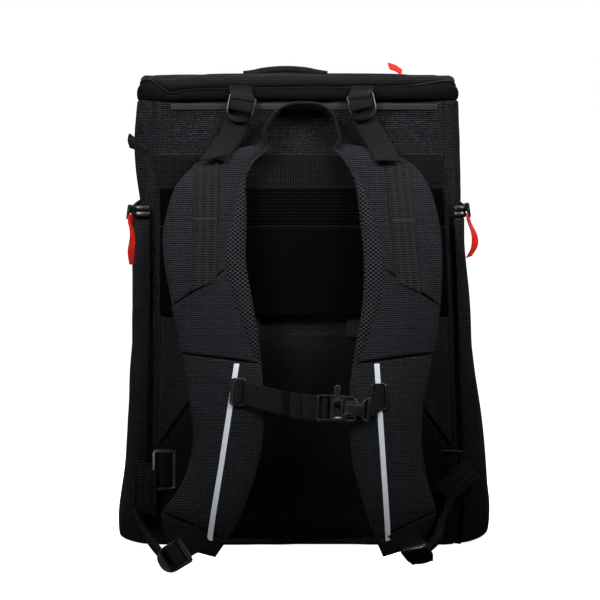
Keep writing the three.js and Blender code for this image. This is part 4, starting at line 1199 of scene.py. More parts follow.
@dataclass(frozen=True)
class ChestStrap:
    """Chest strap: loops on the light strips, webbing with its keeper, and a side-release clasp."""

    lean: float = 14.9
    left: Point = (-66.5, -217.2, 179.6)
    right: Point = (78.2, -217.4, 174.5)
    clasp: Point = (28.4, -222.0, 163.2)
    webbing: float = 25.0
    sag: float = 2.2

    def loop(self, side: Side, at: Point, roll: float) -> None:
        """Makes a loop on the light strip and the webbing in it.

        Args:
            side: Its side.
            at: Its middle.
            roll: Its turn as seen, anticlockwise.
        """
        name = f"chest_loop_{side.word}"
        pose = Pose(*at, roll, self.lean)
        ring = open_frame(name + "_frame", (16.5, 28.5), 2.25, (4, 2), 2.6, 0.8)
        settle(pose.place(ring), ACETAL, [name])
        path = [(-4.6, 2.4, 0), (-3.4, -0.4, 0), (0, -2.0, 0), (3.4, -0.8, 0), (5.4, 2.0, 0)]
        settle(pose.wrap(name + "_wrap", path, (0, 0, 1), 23, 1.5), BLACK_WEBBING)

    def build_webbing(self) -> None:
        """Makes the webbing, its elastic keeper, the folded end and the short webbing on the right."""
        up = (0, math.sin(math.radians(self.lean)), math.cos(math.radians(self.lean)))
        low, high = np.array(self.left) + (8, -2.0, -1.4), np.array(self.clasp) + (-11, 0.2, 0.6)

        def way(share: float, y: float = 0.0) -> Point:
            """Place between the left loop and the clasp, y behind the line."""
            return tuple(low + (high - low) * share + np.array((0, y, -self.sag * math.sin(math.pi * share))))

        keeper = ((0.495, 1.5), (0.5, -1.7), (0.54, -2.5), (0.585, -1.9), (0.59, 1.5))
        folded = (
            (0.592, -1.2), (0.6, -5.2), (0.65, -8.6), (0.71, -7.0), (0.76, -3.2), (0.85, -4.6), (0.985, -2.4),
        )
        a, b = np.array(self.clasp) + (35.5, 0.6, 0.0), np.array(self.right) + (-1.0, -1.6, -3.6)
        short = [tuple(a), tuple((a + b) / 2 - (0, 1.8, 0)), tuple(b)]
        straight, wide = [way(share) for share in (0, 0.25, 0.5, 0.75, 1)], self.webbing
        for name, path, width, thick, rows, finish, nodes in (
            ("chest_webbing_cloth", straight, wide, 1.7, 50, BLACK_WEBBING, ["chest_webbing"]),
            ("chest_keeper_elastic", [way(*p) for p in keeper], wide + 0.4, 1.3, 24, ELASTIC, ["chest_keeper"]),
            ("chest_webbing_end", [way(*p) for p in folded], wide + 2.0, 1.8, 60, BLACK_WEBBING, []),
            ("chest_webbing_short", short, wide - 1, 1.7, 20, BLACK_WEBBING, []),
        ):
            settle(Band(name, path, (up, up), width, thick, rows).build(), finish, nodes)

    def build_clasp(self) -> None:
        """Makes the socket with the whistle on top and the plug with its waist."""
        pose = Pose(*self.clasp, -3.0, self.lean)
        body = cutout("socket_shell", rounded_outline(29, 27.5, (2.2, 3.5, 3.5, 2.2)), 8)
        for size, radius, middle in (
            ((11.4, 22.4), 1.2, (-6.6, 0)), ((9, 9.5), 2, (12.6, -0.5)), ((4, 3), 1, (6.2, 12.8)),
        ):
            carve(body, cutout("window", rounded_outline(*size, (radius,) * 4, middle), 30))
        soften(body, 0.9)
        whistle = soften(cutout("whistle", rounded_outline(6.8, 17, (2, 2, 1, 1), (5.6, 15.8)), 6.4), 1.0)
        hole = soften(cutout("air_hole", rounded_outline(4.4, 2.6, (0.6,) * 4, (7.0, 9.5)), 0.8, 4.2), 0.2)
        panel = soften(cutout("face", rounded_outline(10.6, 22, (1.5,) * 4, (7.0, -2)), 1.0, 4.2), 0.4)
        carve(panel, cutout("dent", rounded_outline(7.0, 9, (2,) * 4, (7.0, -4)), 0.8, 4.9))
        bar = rod("bar", 1.9, 23, (-6.6, 1.0, 0), True)
        socket = pose.place(fuse("clasp_socket_body", body, whistle, panel, hole, bar))
        settle(socket, ACETAL, ["clasp_socket"])
        path = [(-11, 3.0, 0), (-9.6, -1.0, 0), (-6.8, -3.4, 0), (-4.0, -1.4, 0), (-2.2, 3.0, 0)]
        settle(pose.wrap("clasp_wrap", path, (0, 0, 1), 21.6, 1.5), BLACK_WEBBING)
        self.build_plug(pose)

    def build_plug(self, pose: Pose) -> None:
        """Makes the plug.

        Args:
            pose: Where the clasp sits.
        """
        upper = [
            (13.5, 13.4), (20, 13.2), (25, 11.8), (27.2, 7.2), (30, 6.2), (33.2, 9.5), (36.5, 13.2), (40.2, 13.2),
        ]
        outline = upper + [(40.2, -13.2)] + [(x, -z) for x, z in reversed(upper)][1:]
        plug = cutout("plug_shell", outline, 5.6)
        for size, middle in (((2.6, 19), (35.6, 0)), ((7.5, 2.2), (20.2, 9.6)), ((7.5, 2.2), (20.2, -9.6))):
            carve(plug, cutout("gap", rounded_outline(*size, (1,) * 4, middle), 20))
        rise = [(14.5, 5.6), (22, 5.4), (27, 4.4), (33, 6.2)]
        raised = cutout("raised", rise + [(x, -z) for x, z in reversed(rise)], 0.7, 2.8)
        piece = pose.place(fuse("clasp_plug_body", soften(plug, 0.8), soften(raised, 0.6)))
        settle(piece, ACETAL, ["clasp_plug"])

    def build(self) -> None:
        """Makes and dresses the chest strap."""
        self.loop(Side.LEFT, self.left, -4)
        self.loop(Side.RIGHT, self.right, 3)
        self.build_webbing()
        self.build_clasp()


# Tables of the harness


class Table:
    """Rows of named columns, read smoothly or in straight lines at any share."""

    def __init__(self, columns: str, rows: Sequence[Sequence[float]]) -> None:
        """Keeps the rows.

        Args:
            columns: Names of the columns, the key first.
            rows: The rows, by rising key.
        """
        self.names = columns.split()
        self.rows = np.array(rows, float)

    def line(self, at: np.ndarray | float, name: str) -> np.ndarray:
        """Straight-line value of a column.

        Args:
            at: The key.
            name: The column.

        Returns:
            The value.
        """
        return np.interp(at, self.rows[:, 0], self.rows[:, self.names.index(name)])

    def curve(self, at: np.ndarray | float, name: str) -> np.ndarray:
        """Value of a column on a smooth curve through its rows.

        Args:
            at: The key.
            name: The column.

        Returns:
            The value.
        """
        keys, values = self.rows[:, 0], self.rows[:, self.names.index(name)]
        slopes = np.empty_like(values)
        slopes[1:-1] = (values[2:] - values[:-2]) / (keys[2:] - keys[:-2])
        slopes[0] = (values[1] - values[0]) / (keys[1] - keys[0])
        slopes[-1] = (values[-1] - values[-2]) / (keys[-1] - keys[-2])
        i = np.clip(np.searchsorted(keys, at, side="right") - 1, 0, len(keys) - 2)
        span = keys[i + 1] - keys[i]
        t = np.clip((at - keys[i]) / span, 0, 1)
        ease = t * t * (3 - 2 * t)
        bend = t * (1 - t) * span * ((1 - t) * slopes[i] - t * slopes[i + 1])
        return values[i] + (values[i + 1] - values[i]) * ease + bend


# Half widths of the harness face at its edge seams, by height
SEAMS = Table(
    "z left right",
    [
        (0, 162.4, 165.6), (23.7, 162.4, 168.0), (113.8, 161.6, 165.6), (237.0, 156.8, 160.0), (341.3, 156.0, 155.2),
        (362.6, 156.0, 154.4), (393.4, 156.8, 152.8), (431.3, 157.6, 150.4), (457.4, 157.6, 148.8),
        (474.0, 157.6, 148.0),
    ],
)
# Place y of the flat face, how far the edge seams dip beside it, and the air that keeps sewn layers apart
FACE = -126.0
SEAM_DIP = 5.0
CLEAR = 0.3
# The pad's arched top: share of the face's half width, and share of the pad's height
ARCH_ROWS = [(0.0, 1.0), (0.28, 0.975), (0.52, 0.9), (0.76, 0.68), (0.985, 0.44)]
ARCH = Table("across up", [(-across, up) for across, up in ARCH_ROWS[:0:-1]] + ARCH_ROWS)
# Front edge of the lid and rim, by x: the lid's top, the crease between them and the rim's lower edge
EDGE = Table(
    "x top crease low",
    [
        (-178, 493.0, 492.4, 471.5), (-170, 496.4, 495.6, 472.0), (-161, 498.0, 497.0, 473.0),
        (-150, 499.6, 489.6, 473.8), (-140, 500.2, 483.6, 474.4), (-124, 501.4, 486.0, 474.6),
        (-103, 502.2, 487.2, 474.8), (0, 503.6, 488.6, 474.8),
        (91, 502.4, 489.2, 474.8), (122, 500.0, 491.8, 474.8), (146, 497.6, 495.6, 474.6), (158, 495.6, 494.8, 474.0),
        (167, 490.5, 489.9, 473.6),
    ],
)


def edge_of(side: Side, z: np.ndarray | float) -> np.ndarray:
    """Half width of the flat harness face at a height, up to the edge seam's dip."""
    return SEAMS.line(z, side.word) - SEAM_DIP


def rounded(distance: np.ndarray, radius: float) -> np.ndarray:
    """Share of the full height at a distance from a piece's border, for a round edge."""
    t = np.clip(distance / radius, 0, 1)
    return np.sqrt(np.clip(1 - (1 - t) ** 2, 0, 1))


def on_face(name: str, x: np.ndarray, front: np.ndarray, z: np.ndarray) -> bpy.types.Object:
    """Cloth that lies on the harness face.

    Args:
        name: The piece's name.
        x: Grid of places across.
        front: Grid of its front surface's y.
        z: Grid of heights.

    Returns:
        The object.
    """
    back = np.full_like(x, FACE - CLEAR / 2)
    return slab(name, np.stack([x, front, z], -1), np.stack([x, back, z], -1))


def spaced(low: float, high: float, pitch: float, radius: float) -> np.ndarray:
    """Grid lines between two borders, closer together along both round edges.

    Args:
        low: First border.
        high: Last border.
        pitch: Distance of the lines in the middle.
        radius: Radius of the round edges.

    Returns:
        The lines' places.
    """
    count = max(2, round((high - low - 2 * radius) / pitch))
    near = radius * np.array([0, 0.08, 0.3, 0.6])
    return np.concatenate([low + near, np.linspace(low + radius, high - radius, count + 1), high - near[::-1]])


def plan_of(node: str, count: int) -> tuple[np.ndarray, np.ndarray]:
    """Outline of a node seen from above.

    Args:
        node: The node.
        count: Number of places around it.

    Returns:
        Places x, y in millimetres at even distances, and their outward directions.
    """
    flat = [Vector((v.co.x, v.co.y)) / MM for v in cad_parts[node].data.vertices]
    hull = np.array([flat[i][:] for i in geometry.convex_hull_2d(flat)])
    closed = np.vstack([hull, hull[:1]])
    run = np.concatenate([[0], np.cumsum(np.linalg.norm(np.diff(closed, axis=0), axis=1))])
    at = np.linspace(0, run[-1], count, endpoint=False)
    plan = np.stack([np.interp(at, run, closed[:, k]) for k in range(2)], 1)
    for _ in range(20):
        plan = (np.roll(plan, 1, 0) + 2 * plan + np.roll(plan, -1, 0)) / 4
    along = np.roll(plan, -1, 0) - np.roll(plan, 1, 0)
    outward = unit(np.stack([along[:, 1], -along[:, 0]], 1))
    return plan, outward * np.sign(np.sum(outward * (plan - plan.mean(0))))


@dataclass(frozen=True)
class LidEdge:
    """Lid and rim: two padded rolls that run all round, pinched at the front corners."""

    count: int = 560
    inset: float = 2.2
    dome: float = 2.0
    plain: tuple[float, float, float] = (501.6, 488.0, 473.6)
    # Place y from which the photo's heights take over, height of the lid's underside, share where its seam dips
    front_from: float = -60.0
    underside: float = 492.0
    seam: float = 0.93

    def heights(self, plan: np.ndarray) -> list[np.ndarray]:
        """Heights along the outline: from the photo in front, plain behind.

        Args:
            plan: Places of the outline.

        Returns:
            Top of the lid, crease and low edge of the rim.
        """
        front = np.clip((self.front_from - plan[:, 1]) / 50, 0, 1)
        front = front * front * (3 - 2 * front)
        seen = [EDGE.curve(plan[:, 0], name) for name in ("top", "crease", "low")]
        return [front * height + (1 - front) * plain for height, plain in zip(seen, self.plain)]

    def ring(
        self, plan: np.ndarray, outward: np.ndarray, low: np.ndarray, high: np.ndarray, proud: float, inner: float
    ) -> list[np.ndarray]:
        """Rows of the rounded outer side of a roll, from its low edge to its high edge.

        Args:
            plan: Places of the outline.
            outward: Its outward directions.
            low: The roll's low edge.
            high: Its high edge.
            proud: How far it stands out at most.
            inner: How far inside the outline its edges lie.

        Returns:
            Arrays of places.
        """
        rows, half = [], (high - low) / 2
        for a in np.linspace(-np.pi / 2, np.pi / 2, 15):
            swell = np.cos(a) ** 0.75 if abs(a) < 1.57 else 0
            out = np.minimum(proud, half * 1.1) * swell - inner
            rows.append(np.column_stack([plan + outward * out[:, None], (high + low) / 2 + half * np.sin(a)]))
        return rows

    def build(self) -> None:
        """Makes and dresses the rim, the lid and the crease between them."""
        plan, outward = plan_of("lid", self.count)
        plan = plan - outward * self.inset
        top, crease_z, low = self.heights(plan)
        rim_rows = self.ring(plan, outward, low, crease_z - 0.4, 8.0, 7.4)
        inner = [np.column_stack([plan - outward * 14, z]) for z in (crease_z - 1.2, low + 1.0)]
        rim = self.closed("rim_cloth", [inner[1], *rim_rows, inner[0]], True)
        rumple(rim, (), 30, 0.35, 5)
        settle(smooth(rim, 60), RIM_CLOTH, ["rim_roll"])
        rows = [
            self.scaled(plan, 0.05, np.full(self.count, self.underside)), self.scaled(plan, 0.9, crease_z + 0.6),
            *self.ring(plan, outward, crease_z, top, 8.6, 8.2),
        ]
        for share in (0.955, self.seam, 0.9, 0.86, 0.8, 0.7, 0.55, 0.4, 0.25, 0.12, 0.04):
            dip = -1.2 * math.exp(-(((share - self.seam) / 0.012) ** 2))
            z = top * share + (1 - share) * self.plain[0] + self.dome * (1 - share**2) * 0.9 + dip
            rows.append(self.scaled(plan, share, z))
        lid = self.closed("lid_cloth", rows, False)
        rumple(lid, (), 60, 0.45, 8)
        settle(smooth(lid, 60), SHELL_CLOTH, ["lid"])
        near = plan[:, 1] < self.front_from
        order = np.argsort(plan[near][:, 0])
        line = np.column_stack([plan[near] - outward[near] * 3.4, crease_z[near] - 0.1])[order]
        settle(cord("lid_crease_piping", line, 2.2), PIPING)

    def scaled(self, plan: np.ndarray, share: float, z: np.ndarray) -> np.ndarray:
        """The outline drawn in towards its middle, at heights z."""
        middle = plan.mean(0)
        return np.column_stack([middle + (plan - middle) * share, z])

    def closed(self, name: str, rows: list[np.ndarray], hoop: bool) -> bpy.types.Object:
        """Closed body of rings.

        Args:
            name: The piece's name.
            rows: The rings.
            hoop: Whether the last ring meets the first. Otherwise both are capped.

        Returns:
            The object.
        """
        index = np.arange(len(rows) * self.count).reshape(len(rows), self.count)
        following = np.roll(index, -1, axis=1)
        faces = np.stack([index[:-1], following[:-1], following[1:], index[1:]], -1).reshape(-1, 4).tolist()
        if hoop:
            faces += np.stack([index[-1], following[-1], following[0], index[0]], -1).reshape(-1, 4).tolist()
        else:
            faces += [index[0][::-1].tolist(), index[-1].tolist()]
        return mesh_piece(name, np.concatenate(rows), faces)


@dataclass(frozen=True)
class Patch:
    """Cloth sewn flat on the harness face, with a relief of its own."""

    name: str
    low: float
    high: float
    thick: float
    relief: Callable[[np.ndarray, np.ndarray], np.ndarray]
    pitch: tuple[float, float] = (4.0, 4.0)
    left: float | None = None
    right: float | None = None
    radius: float = 1.2

    def build(self) -> bpy.types.Object:
        """Makes the cloth as a grid with round borders.

        Returns:
            The object, with a map whose length runs along x.
        """
        us = spaced(0, 300, self.pitch[0], self.radius) / 300
        zs = spaced(self.low, self.high, self.pitch[1], self.radius)
        u, z = np.meshgrid(us, zs)
        low = -(edge_of(Side.LEFT, z) if self.left is None else self.left)
        high = edge_of(Side.RIGHT, z) if self.right is None else self.right
        x = low + (high - low) * u
        border = rounded(np.minimum(x - low, high - x), self.radius)
        border = border * rounded(np.minimum(z - self.low, self.high - z), self.radius)
        piece = on_face(self.name, x, FACE - CLEAR - self.thick * border - self.relief(x, z) * border, z)
        return smooth(lay_map(piece, (read_points(piece) / MM)[:, [2, 0]]), 60)


@dataclass
class Shell:
    """Body, pockets and their zips: cloth with folds and slack."""

    body_folds: tuple[Fold, ...] = (
        Fold((-176, -118, 470), (-160, -128, 432), 3.0, 1.8), Fold((-180, -112, 458), (-166, -126, 420), 2.6, -1.2),
        Fold((-178, -112, 448), (-163, -127, 426), 2.2, 1.4), Fold((-160, -128, 420), (-176, -116, 396), 4.0, 1.2),
        Fold((160, -126, 470), (172, -110, 420), 5.0, 1.0), Fold((158, -126, 430), (172, -108, 380), 4.0, -0.9),
    )
    pocket_folds: tuple[Fold, ...] = (
        Fold((-168, -126, 322), (-176, -120, 270), 3.5, 2.2), Fold((-172, -126, 300), (-186, -112, 180), 6, 1.6),
        Fold((-166, -128, 200), (-178, -122, 60), 6, 1.8), Fold((-170, -127, 60), (-196, -110, 14), 5, 2.2),
        Fold((170, -126, 320), (178, -120, 230), 4, 1.6), Fold((168, -128, 240), (184, -118, 120), 6, 1.8),
        Fold((176, -126, 110), (196, -112, 24), 5, 2.4), Fold((170, -128, 80), (180, -124, 14), 4, -2.2),
    )
    # Lift of the pockets' outer feet, then the upper and lower edge of the corner tab
    foot_lift: float = 7.0
    tab_edges: tuple[tuple[Point, Point], ...] = (
        ((-184.5, -96, 440.0), (-163.5, -133.0, 426.0)), ((-184.5, -96, 424.5), (-163.5, -133.0, 419.5)),
    )

    def soft(self, node: str, name: str, levels: int, angle: float, weight: float) -> bpy.types.Object:
        """Softened copy of a node.

        Args:
            node: The node.
            name: The piece's name.
            levels: Times it is subdivided.
            angle: Edges sharper than this are held.
            weight: How firmly they are held.

        Returns:
            The piece.
        """
        piece = crease(quad_copy(node, name), angle, weight)
        return modify(piece, "SUBSURF", levels=levels, render_levels=levels)

    def build(self) -> None:
        """Makes and dresses the shell's pieces."""
        body = self.soft("main_body", "body_cloth", 3, 33, 0.85)
        rumple(body, self.body_folds, 70, 0.9, 3)
        settle(smooth(body, 50), SHELL_CLOTH, ["main_body"])
        for side in Side:
            pocket = self.soft(f"pocket_{side.word}", f"pocket_cloth_{side.word}", 3, 70, 0.85)
            self.raise_foot(pocket, side)
            rumple(pocket, self.pocket_folds, 55, 0.9, 11 + side.value)
            settle(smooth(pocket, 60), WING_CLOTH, [f"pocket_{side.word}"])
            cover = self.soft(f"pocket_zip_{side.word}", f"zip_cover_{side.word}", 3, 80, 0.8)
            settle(smooth(cover, 60), COATED_FOLD, [f"pocket_zip_{side.word}"])
        self.build_tab()

    def raise_foot(self, pocket: bpy.types.Object, side: Side) -> None:
        """Lifts the outer lower corner of a pocket, where its cloth hangs short.

        Args:
            pocket: The pocket.
            side: Its side.
        """
        points = read_points(pocket)
        outward = np.clip((np.abs(points[:, 0]) / MM - 165) / 35, 0, 1.2)
        lowness = np.clip(1 - points[:, 2] / MM / 50, 0, 1)
        points[:, 2] += (self.foot_lift + 2 * side.value) * MM * outward * lowness
        pocket.data.vertices.foreach_set("co", points.ravel())

    def build_tab(self) -> None:
        """Makes the folded cloth tab on the left corner: a flap that narrows towards the face."""
        u, v = np.meshgrid(np.linspace(0, 1, 24), np.linspace(0, 1, 24))
        top, low = (start + u[..., None] * (end - start) for start, end in np.array(self.tab_edges))
        middle = top + (low - top) * v[..., None]
        swell = 1.5 + 2.4 * np.sin(np.pi * np.clip(v * 1.1, 0, 1)) * (1 - 0.5 * u)
        outward = np.array((-0.62, -0.78, 0.1))
        flap = slab("corner_tab_cloth", middle + outward * swell[..., None], middle - outward * 0.6)
        settle(smooth(flap, 60), SHELL_CLOTH, ["corner_tab"])


@dataclass
class HarnessFace:
    """Flat pieces sewn on the face between the edge seams, and the arched air-mesh pad."""

    rib: float = 2.7
    row: float = 3.45
    pad_low: float = 9.5
    pad_high: float = 231.0
    pad_thick: float = 11.0
    sleeve: tuple[float, float] = (249.0, 342.0)
    sleeve_stand: float = 7.4
    # Top of the wings, then their inner edge and the outer edge of all cloth here, as shares of the half width
    wing_top: float = 247.5
    wing_from: float = 0.3
    margin: float = 0.985
    half: float = 150.0

    def ribs(self, x: np.ndarray, z: np.ndarray) -> np.ndarray:
        """Upright cords of the ribbed band, slack towards its middle."""
        return 0.55 * np.abs(np.sin(np.pi * x / self.rib)) + 0.5 * np.sin(x / 23) * np.sin(z / 9)

    def rows(self, x: np.ndarray, z: np.ndarray) -> np.ndarray:
        """Quilted rows of the stitched band."""
        return 0.7 * np.abs(np.sin(np.pi * (z - 344) / self.row)) ** 0.6 + 0.3 * np.sin(x / 31 + z / 17)

    def calm(self, x: np.ndarray, z: np.ndarray) -> np.ndarray:
        """Slight slack of the smooth strip."""
        return 0.12 * np.sin(x / 19 + z / 7)

    def build_bands(self) -> None:
        """Makes the smooth strip, the ribbed band and the stitched band."""
        strip = Patch("smooth_strip_cloth", 465.2, 472, 0.9, self.calm, (4, 2), 139, 141, 0.6).build()
        settle(strip, LAMINATE, ["smooth_strip"])
        band = Patch("ribbed_band_cloth", 384, 418, 1.6, self.ribs, (self.rib / 4, 4)).build()
        settle(band, RIBBED_WEBBING, ["ribbed_band"])
        hem = Patch("stitched_band_cloth", 344, 383.4, 1.8, self.rows, (6, self.row / 6)).build()
        settle(hem, PANEL_CLOTH, ["stitched_band"])
        runs = [self.across(z, FACE - 3.2) for z in np.arange(344 + 2 * self.row, 383, self.row)]
        runs += [self.across(463.2, FACE - 0.6), self.across(461, FACE - 0.6)]
        settle(stitches("band_stitches", runs), DARK_THREAD)
        borders = ((383.7, 2.4), (343.2, 2.2), (418.4, 1.2))
        lines = [cord("band_edge_line", self.across(z, FACE - y, 0), 1.3) for z, y in borders]
        settle(fuse("band_edge_lines", *lines), PIPING)

    def across(self, z: float, y: float, margin: float = 3) -> np.ndarray:
        """Line across the face at a height.

        Args:
            z: Its height.
            y: How far forward it lies.
            margin: How far its ends stay from the edge seams.

        Returns:
            Array of places.
        """
        xs = np.linspace(-edge_of(Side.LEFT, z) + margin, edge_of(Side.RIGHT, z) - margin, 60)
        return np.stack([xs, np.full_like(xs, y), np.full_like(xs, z)], 1)

    def build_sleeve(self) -> None:
        """Makes the sleeve panel, sewn down at both sides and open above and below."""
        low, high = self.sleeve
        us, zs = np.linspace(0, 1, 120), spaced(low, high, 2.5, 1.5)
        u, z = np.meshgrid(us, zs)
        left, right = -edge_of(Side.LEFT, z), edge_of(Side.RIGHT, z)
        x = left + (right - left) * u
        stand = self.sleeve_stand * np.clip(np.minimum(u, 1 - u) / 0.07, 0, 1) ** 0.8
        slack = 0.6 * np.sin(x / 27 + z / 31) + 0.4 * np.sin(x / 11 - z / 19)
        back = FACE - CLEAR - stand
        border = rounded(np.minimum(z - low, high - z), 1.5)
        hem = 0.9 * np.exp(-(((z - low - 3.5) / 3.2) ** 2))
        front = back - CLEAR - 1.9 * border - (slack + hem) * np.clip(stand / self.sleeve_stand, 0, 1) * border
        sleeve = slab("sleeve_cloth", np.stack([x, front, z], -1), np.stack([x, back, z], -1))
        settle(smooth(sleeve, 60), PANEL_CLOTH, ["sleeve_panel"])

    def arch(self, share: np.ndarray) -> np.ndarray:
        """Height of the pad's arched edge at a share of the face's half width."""
        return self.pad_low + (self.pad_high - self.pad_low) * ARCH.curve(share, "up")

    def build_pad(self) -> None:
        """Makes the crowned air-mesh pad, with two sewn ridges along its border."""
        far = self.margin
        share, v = np.meshgrid(spaced(-far, far, 0.012, 0.02), spaced(0, 1, 0.012, 0.02))
        tall = self.arch(share) - self.pad_low
        z = self.pad_low + tall * v
        x = share * np.where(share < 0, edge_of(Side.LEFT, z), edge_of(Side.RIGHT, z))
        away = np.minimum(np.minimum(far - share, share + far) * self.half, np.minimum(v, 1 - v) * tall)
        crown = self.pad_thick * (0.42 * rounded(away, 2.5) + 0.58 * rounded(away, 22))
        pad = inflate(on_face("mesh_pad_cloth", x, FACE - CLEAR - crown, z), 4, 1.4)
        points = read_points(pad)
        points[:, 1] = np.minimum(points[:, 1], (FACE - CLEAR / 2) * MM)
        x, z = points[:, 0] / MM, points[:, 2] / MM
        share = x / np.where(x < 0, edge_of(Side.LEFT, z), edge_of(Side.RIGHT, z))
        away = np.minimum((far - np.abs(share)) * self.half, z - self.pad_low)
        away = np.minimum(away, self.arch(np.clip(share, -0.98, 0.98)) - z)
        ridge = 0.9 * np.exp(-(((away - 9) / 1.3) ** 2)) + 0.7 * np.exp(-(((away - 5) / 0.9) ** 2))
        points[:, 1] += np.where(points[:, 1] < (FACE - 3) * MM, ridge * MM, 0)
        pad.data.vertices.foreach_set("co", points.ravel())
        settle(smooth(pad, 60), PAD_MESH, ["mesh_pad"])

    def build_wing(self, side: Side) -> None:
        """Makes the cloth wing beside the arch, with a tape along its lower edge on the right.

        Args:
            side: Its side.
        """
        near, far = self.wing_from, self.margin
        share, v = np.meshgrid(spaced(near, far, 0.012, 0.01), spaced(0, 1, 0.02, 0.015))
        low = self.arch(share) + 1.2
        z = low + (self.wing_top - low) * v
        x = side.value * share * edge_of(side, z)
        away = np.minimum(far - share, share - near) * self.half
        away = np.minimum(away, np.minimum(v, 1 - v) * (self.wing_top - low))
        if side is Side.RIGHT:
            tape = 1.1 * np.clip((10 - (z - low) * 0.75) * 2, 0, 1)
        else:
            tape = 0.7 * np.exp(-(((z - low - 4) / 2) ** 2))
        folds = 0.8 * np.exp(-((((x * side.value - 118) * 0.62 - (z - 160) * 0.6) / 3.5) ** 2))
        cloth = (3.6 + 0.4 * np.sin(x / 13 + z / 21) + folds) * rounded(away, 2.2)
        wing = on_face(f"wing_cloth_{side.word}", x, FACE - CLEAR - cloth - tape * rounded(away, 1), z)
        settle(smooth(wing, 60), WING_CLOTH, [f"side_wing_{side.word}"])

    def build_piping(self) -> None:
        """Makes the rounded piping along the lower edge and the small tab in it."""
        xs = np.linspace(-edge_of(Side.LEFT, 0), edge_of(Side.RIGHT, 0), 120)
        x, a = np.meshgrid(xs, np.linspace(0, np.pi, 14))
        z = 4.8 - 3.6 * np.cos(a)
        front = FACE - CLEAR - 0.3 - (6 + 0.25 * np.sin(x / 7)) * np.sin(a)
        piping = on_face("piping_cloth", x, front, z)
        settle(smooth(piping, 60), SHELL_CLOTH, ["bottom_piping"])
        tab = soften(cutout("bottom_tab", rounded_outline(11, 6.4, (0.8,) * 4, (68.5, 6.6)), 1.8, 133.6), 0.4)
        settle(tab, PIPING)

    def build(self) -> None:
        """Makes and dresses all of the face's pieces."""
        self.build_bands()
        self.build_sleeve()
        self.build_pad()
        for side in Side:
            self.build_wing(side)
        self.build_piping()


# Shoulder straps. down: share of the drop; in and out: edges as shares of half, left then right; off: share
# of reach; fall: how much lower the outer edge lies; mesh: share of the width that shows the lining
STRAP_ROWS = Table(
    "down in_left out_left in_right out_right off fall mesh",
    [
        (0.0, 0.235, 0.58, 0.235, 0.6, 0.075, 0.1, 0.0), (0.012, 0.2, 0.64, 0.195, 0.66, 0.09, 0.1, 0.0),
        (0.022, 0.225, 0.68, 0.205, 0.69, 0.11, 0.09, 0.0), (0.04, 0.3, 0.73, 0.255, 0.74, 0.14, 0.08, 0.02),
        (0.09, 0.37, 0.82, 0.33, 0.815, 0.2, 0.04, 0.05), (0.155, 0.366, 0.88, 0.36, 0.868, 0.27, 0.02, 0.1),
        (0.23, 0.368, 0.912, 0.38, 0.898, 0.34, 0.0, 0.19), (0.29, 0.37, 0.9, 0.393, 0.903, 0.4, 0.0, 0.24),
        (0.38, 0.33, 0.857, 0.387, 0.892, 0.49, 0.0, 0.21), (0.47, 0.288, 0.812, 0.35, 0.862, 0.58, 0.0, 0.11),
        (0.56, 0.263, 0.755, 0.31, 0.81, 0.67, 0.0, 0.02), (0.64, 0.254, 0.723, 0.295, 0.772, 0.75, 0.0, 0.0),
        (0.715, 0.258, 0.705, 0.3, 0.76, 0.82, 0.0, 0.0), (0.79, 0.297, 0.74, 0.325, 0.778, 0.89, 0.0, 0.0),
        (0.86, 0.356, 0.81, 0.375, 0.817, 0.95, -0.05, 0.0), (0.93, 0.44, 0.905, 0.435, 0.845, 0.99, -0.12, 0.0),
        (1.0, 0.56, 0.86, 0.51, 0.75, 1.0, -0.11, 0.0),
    ],
)


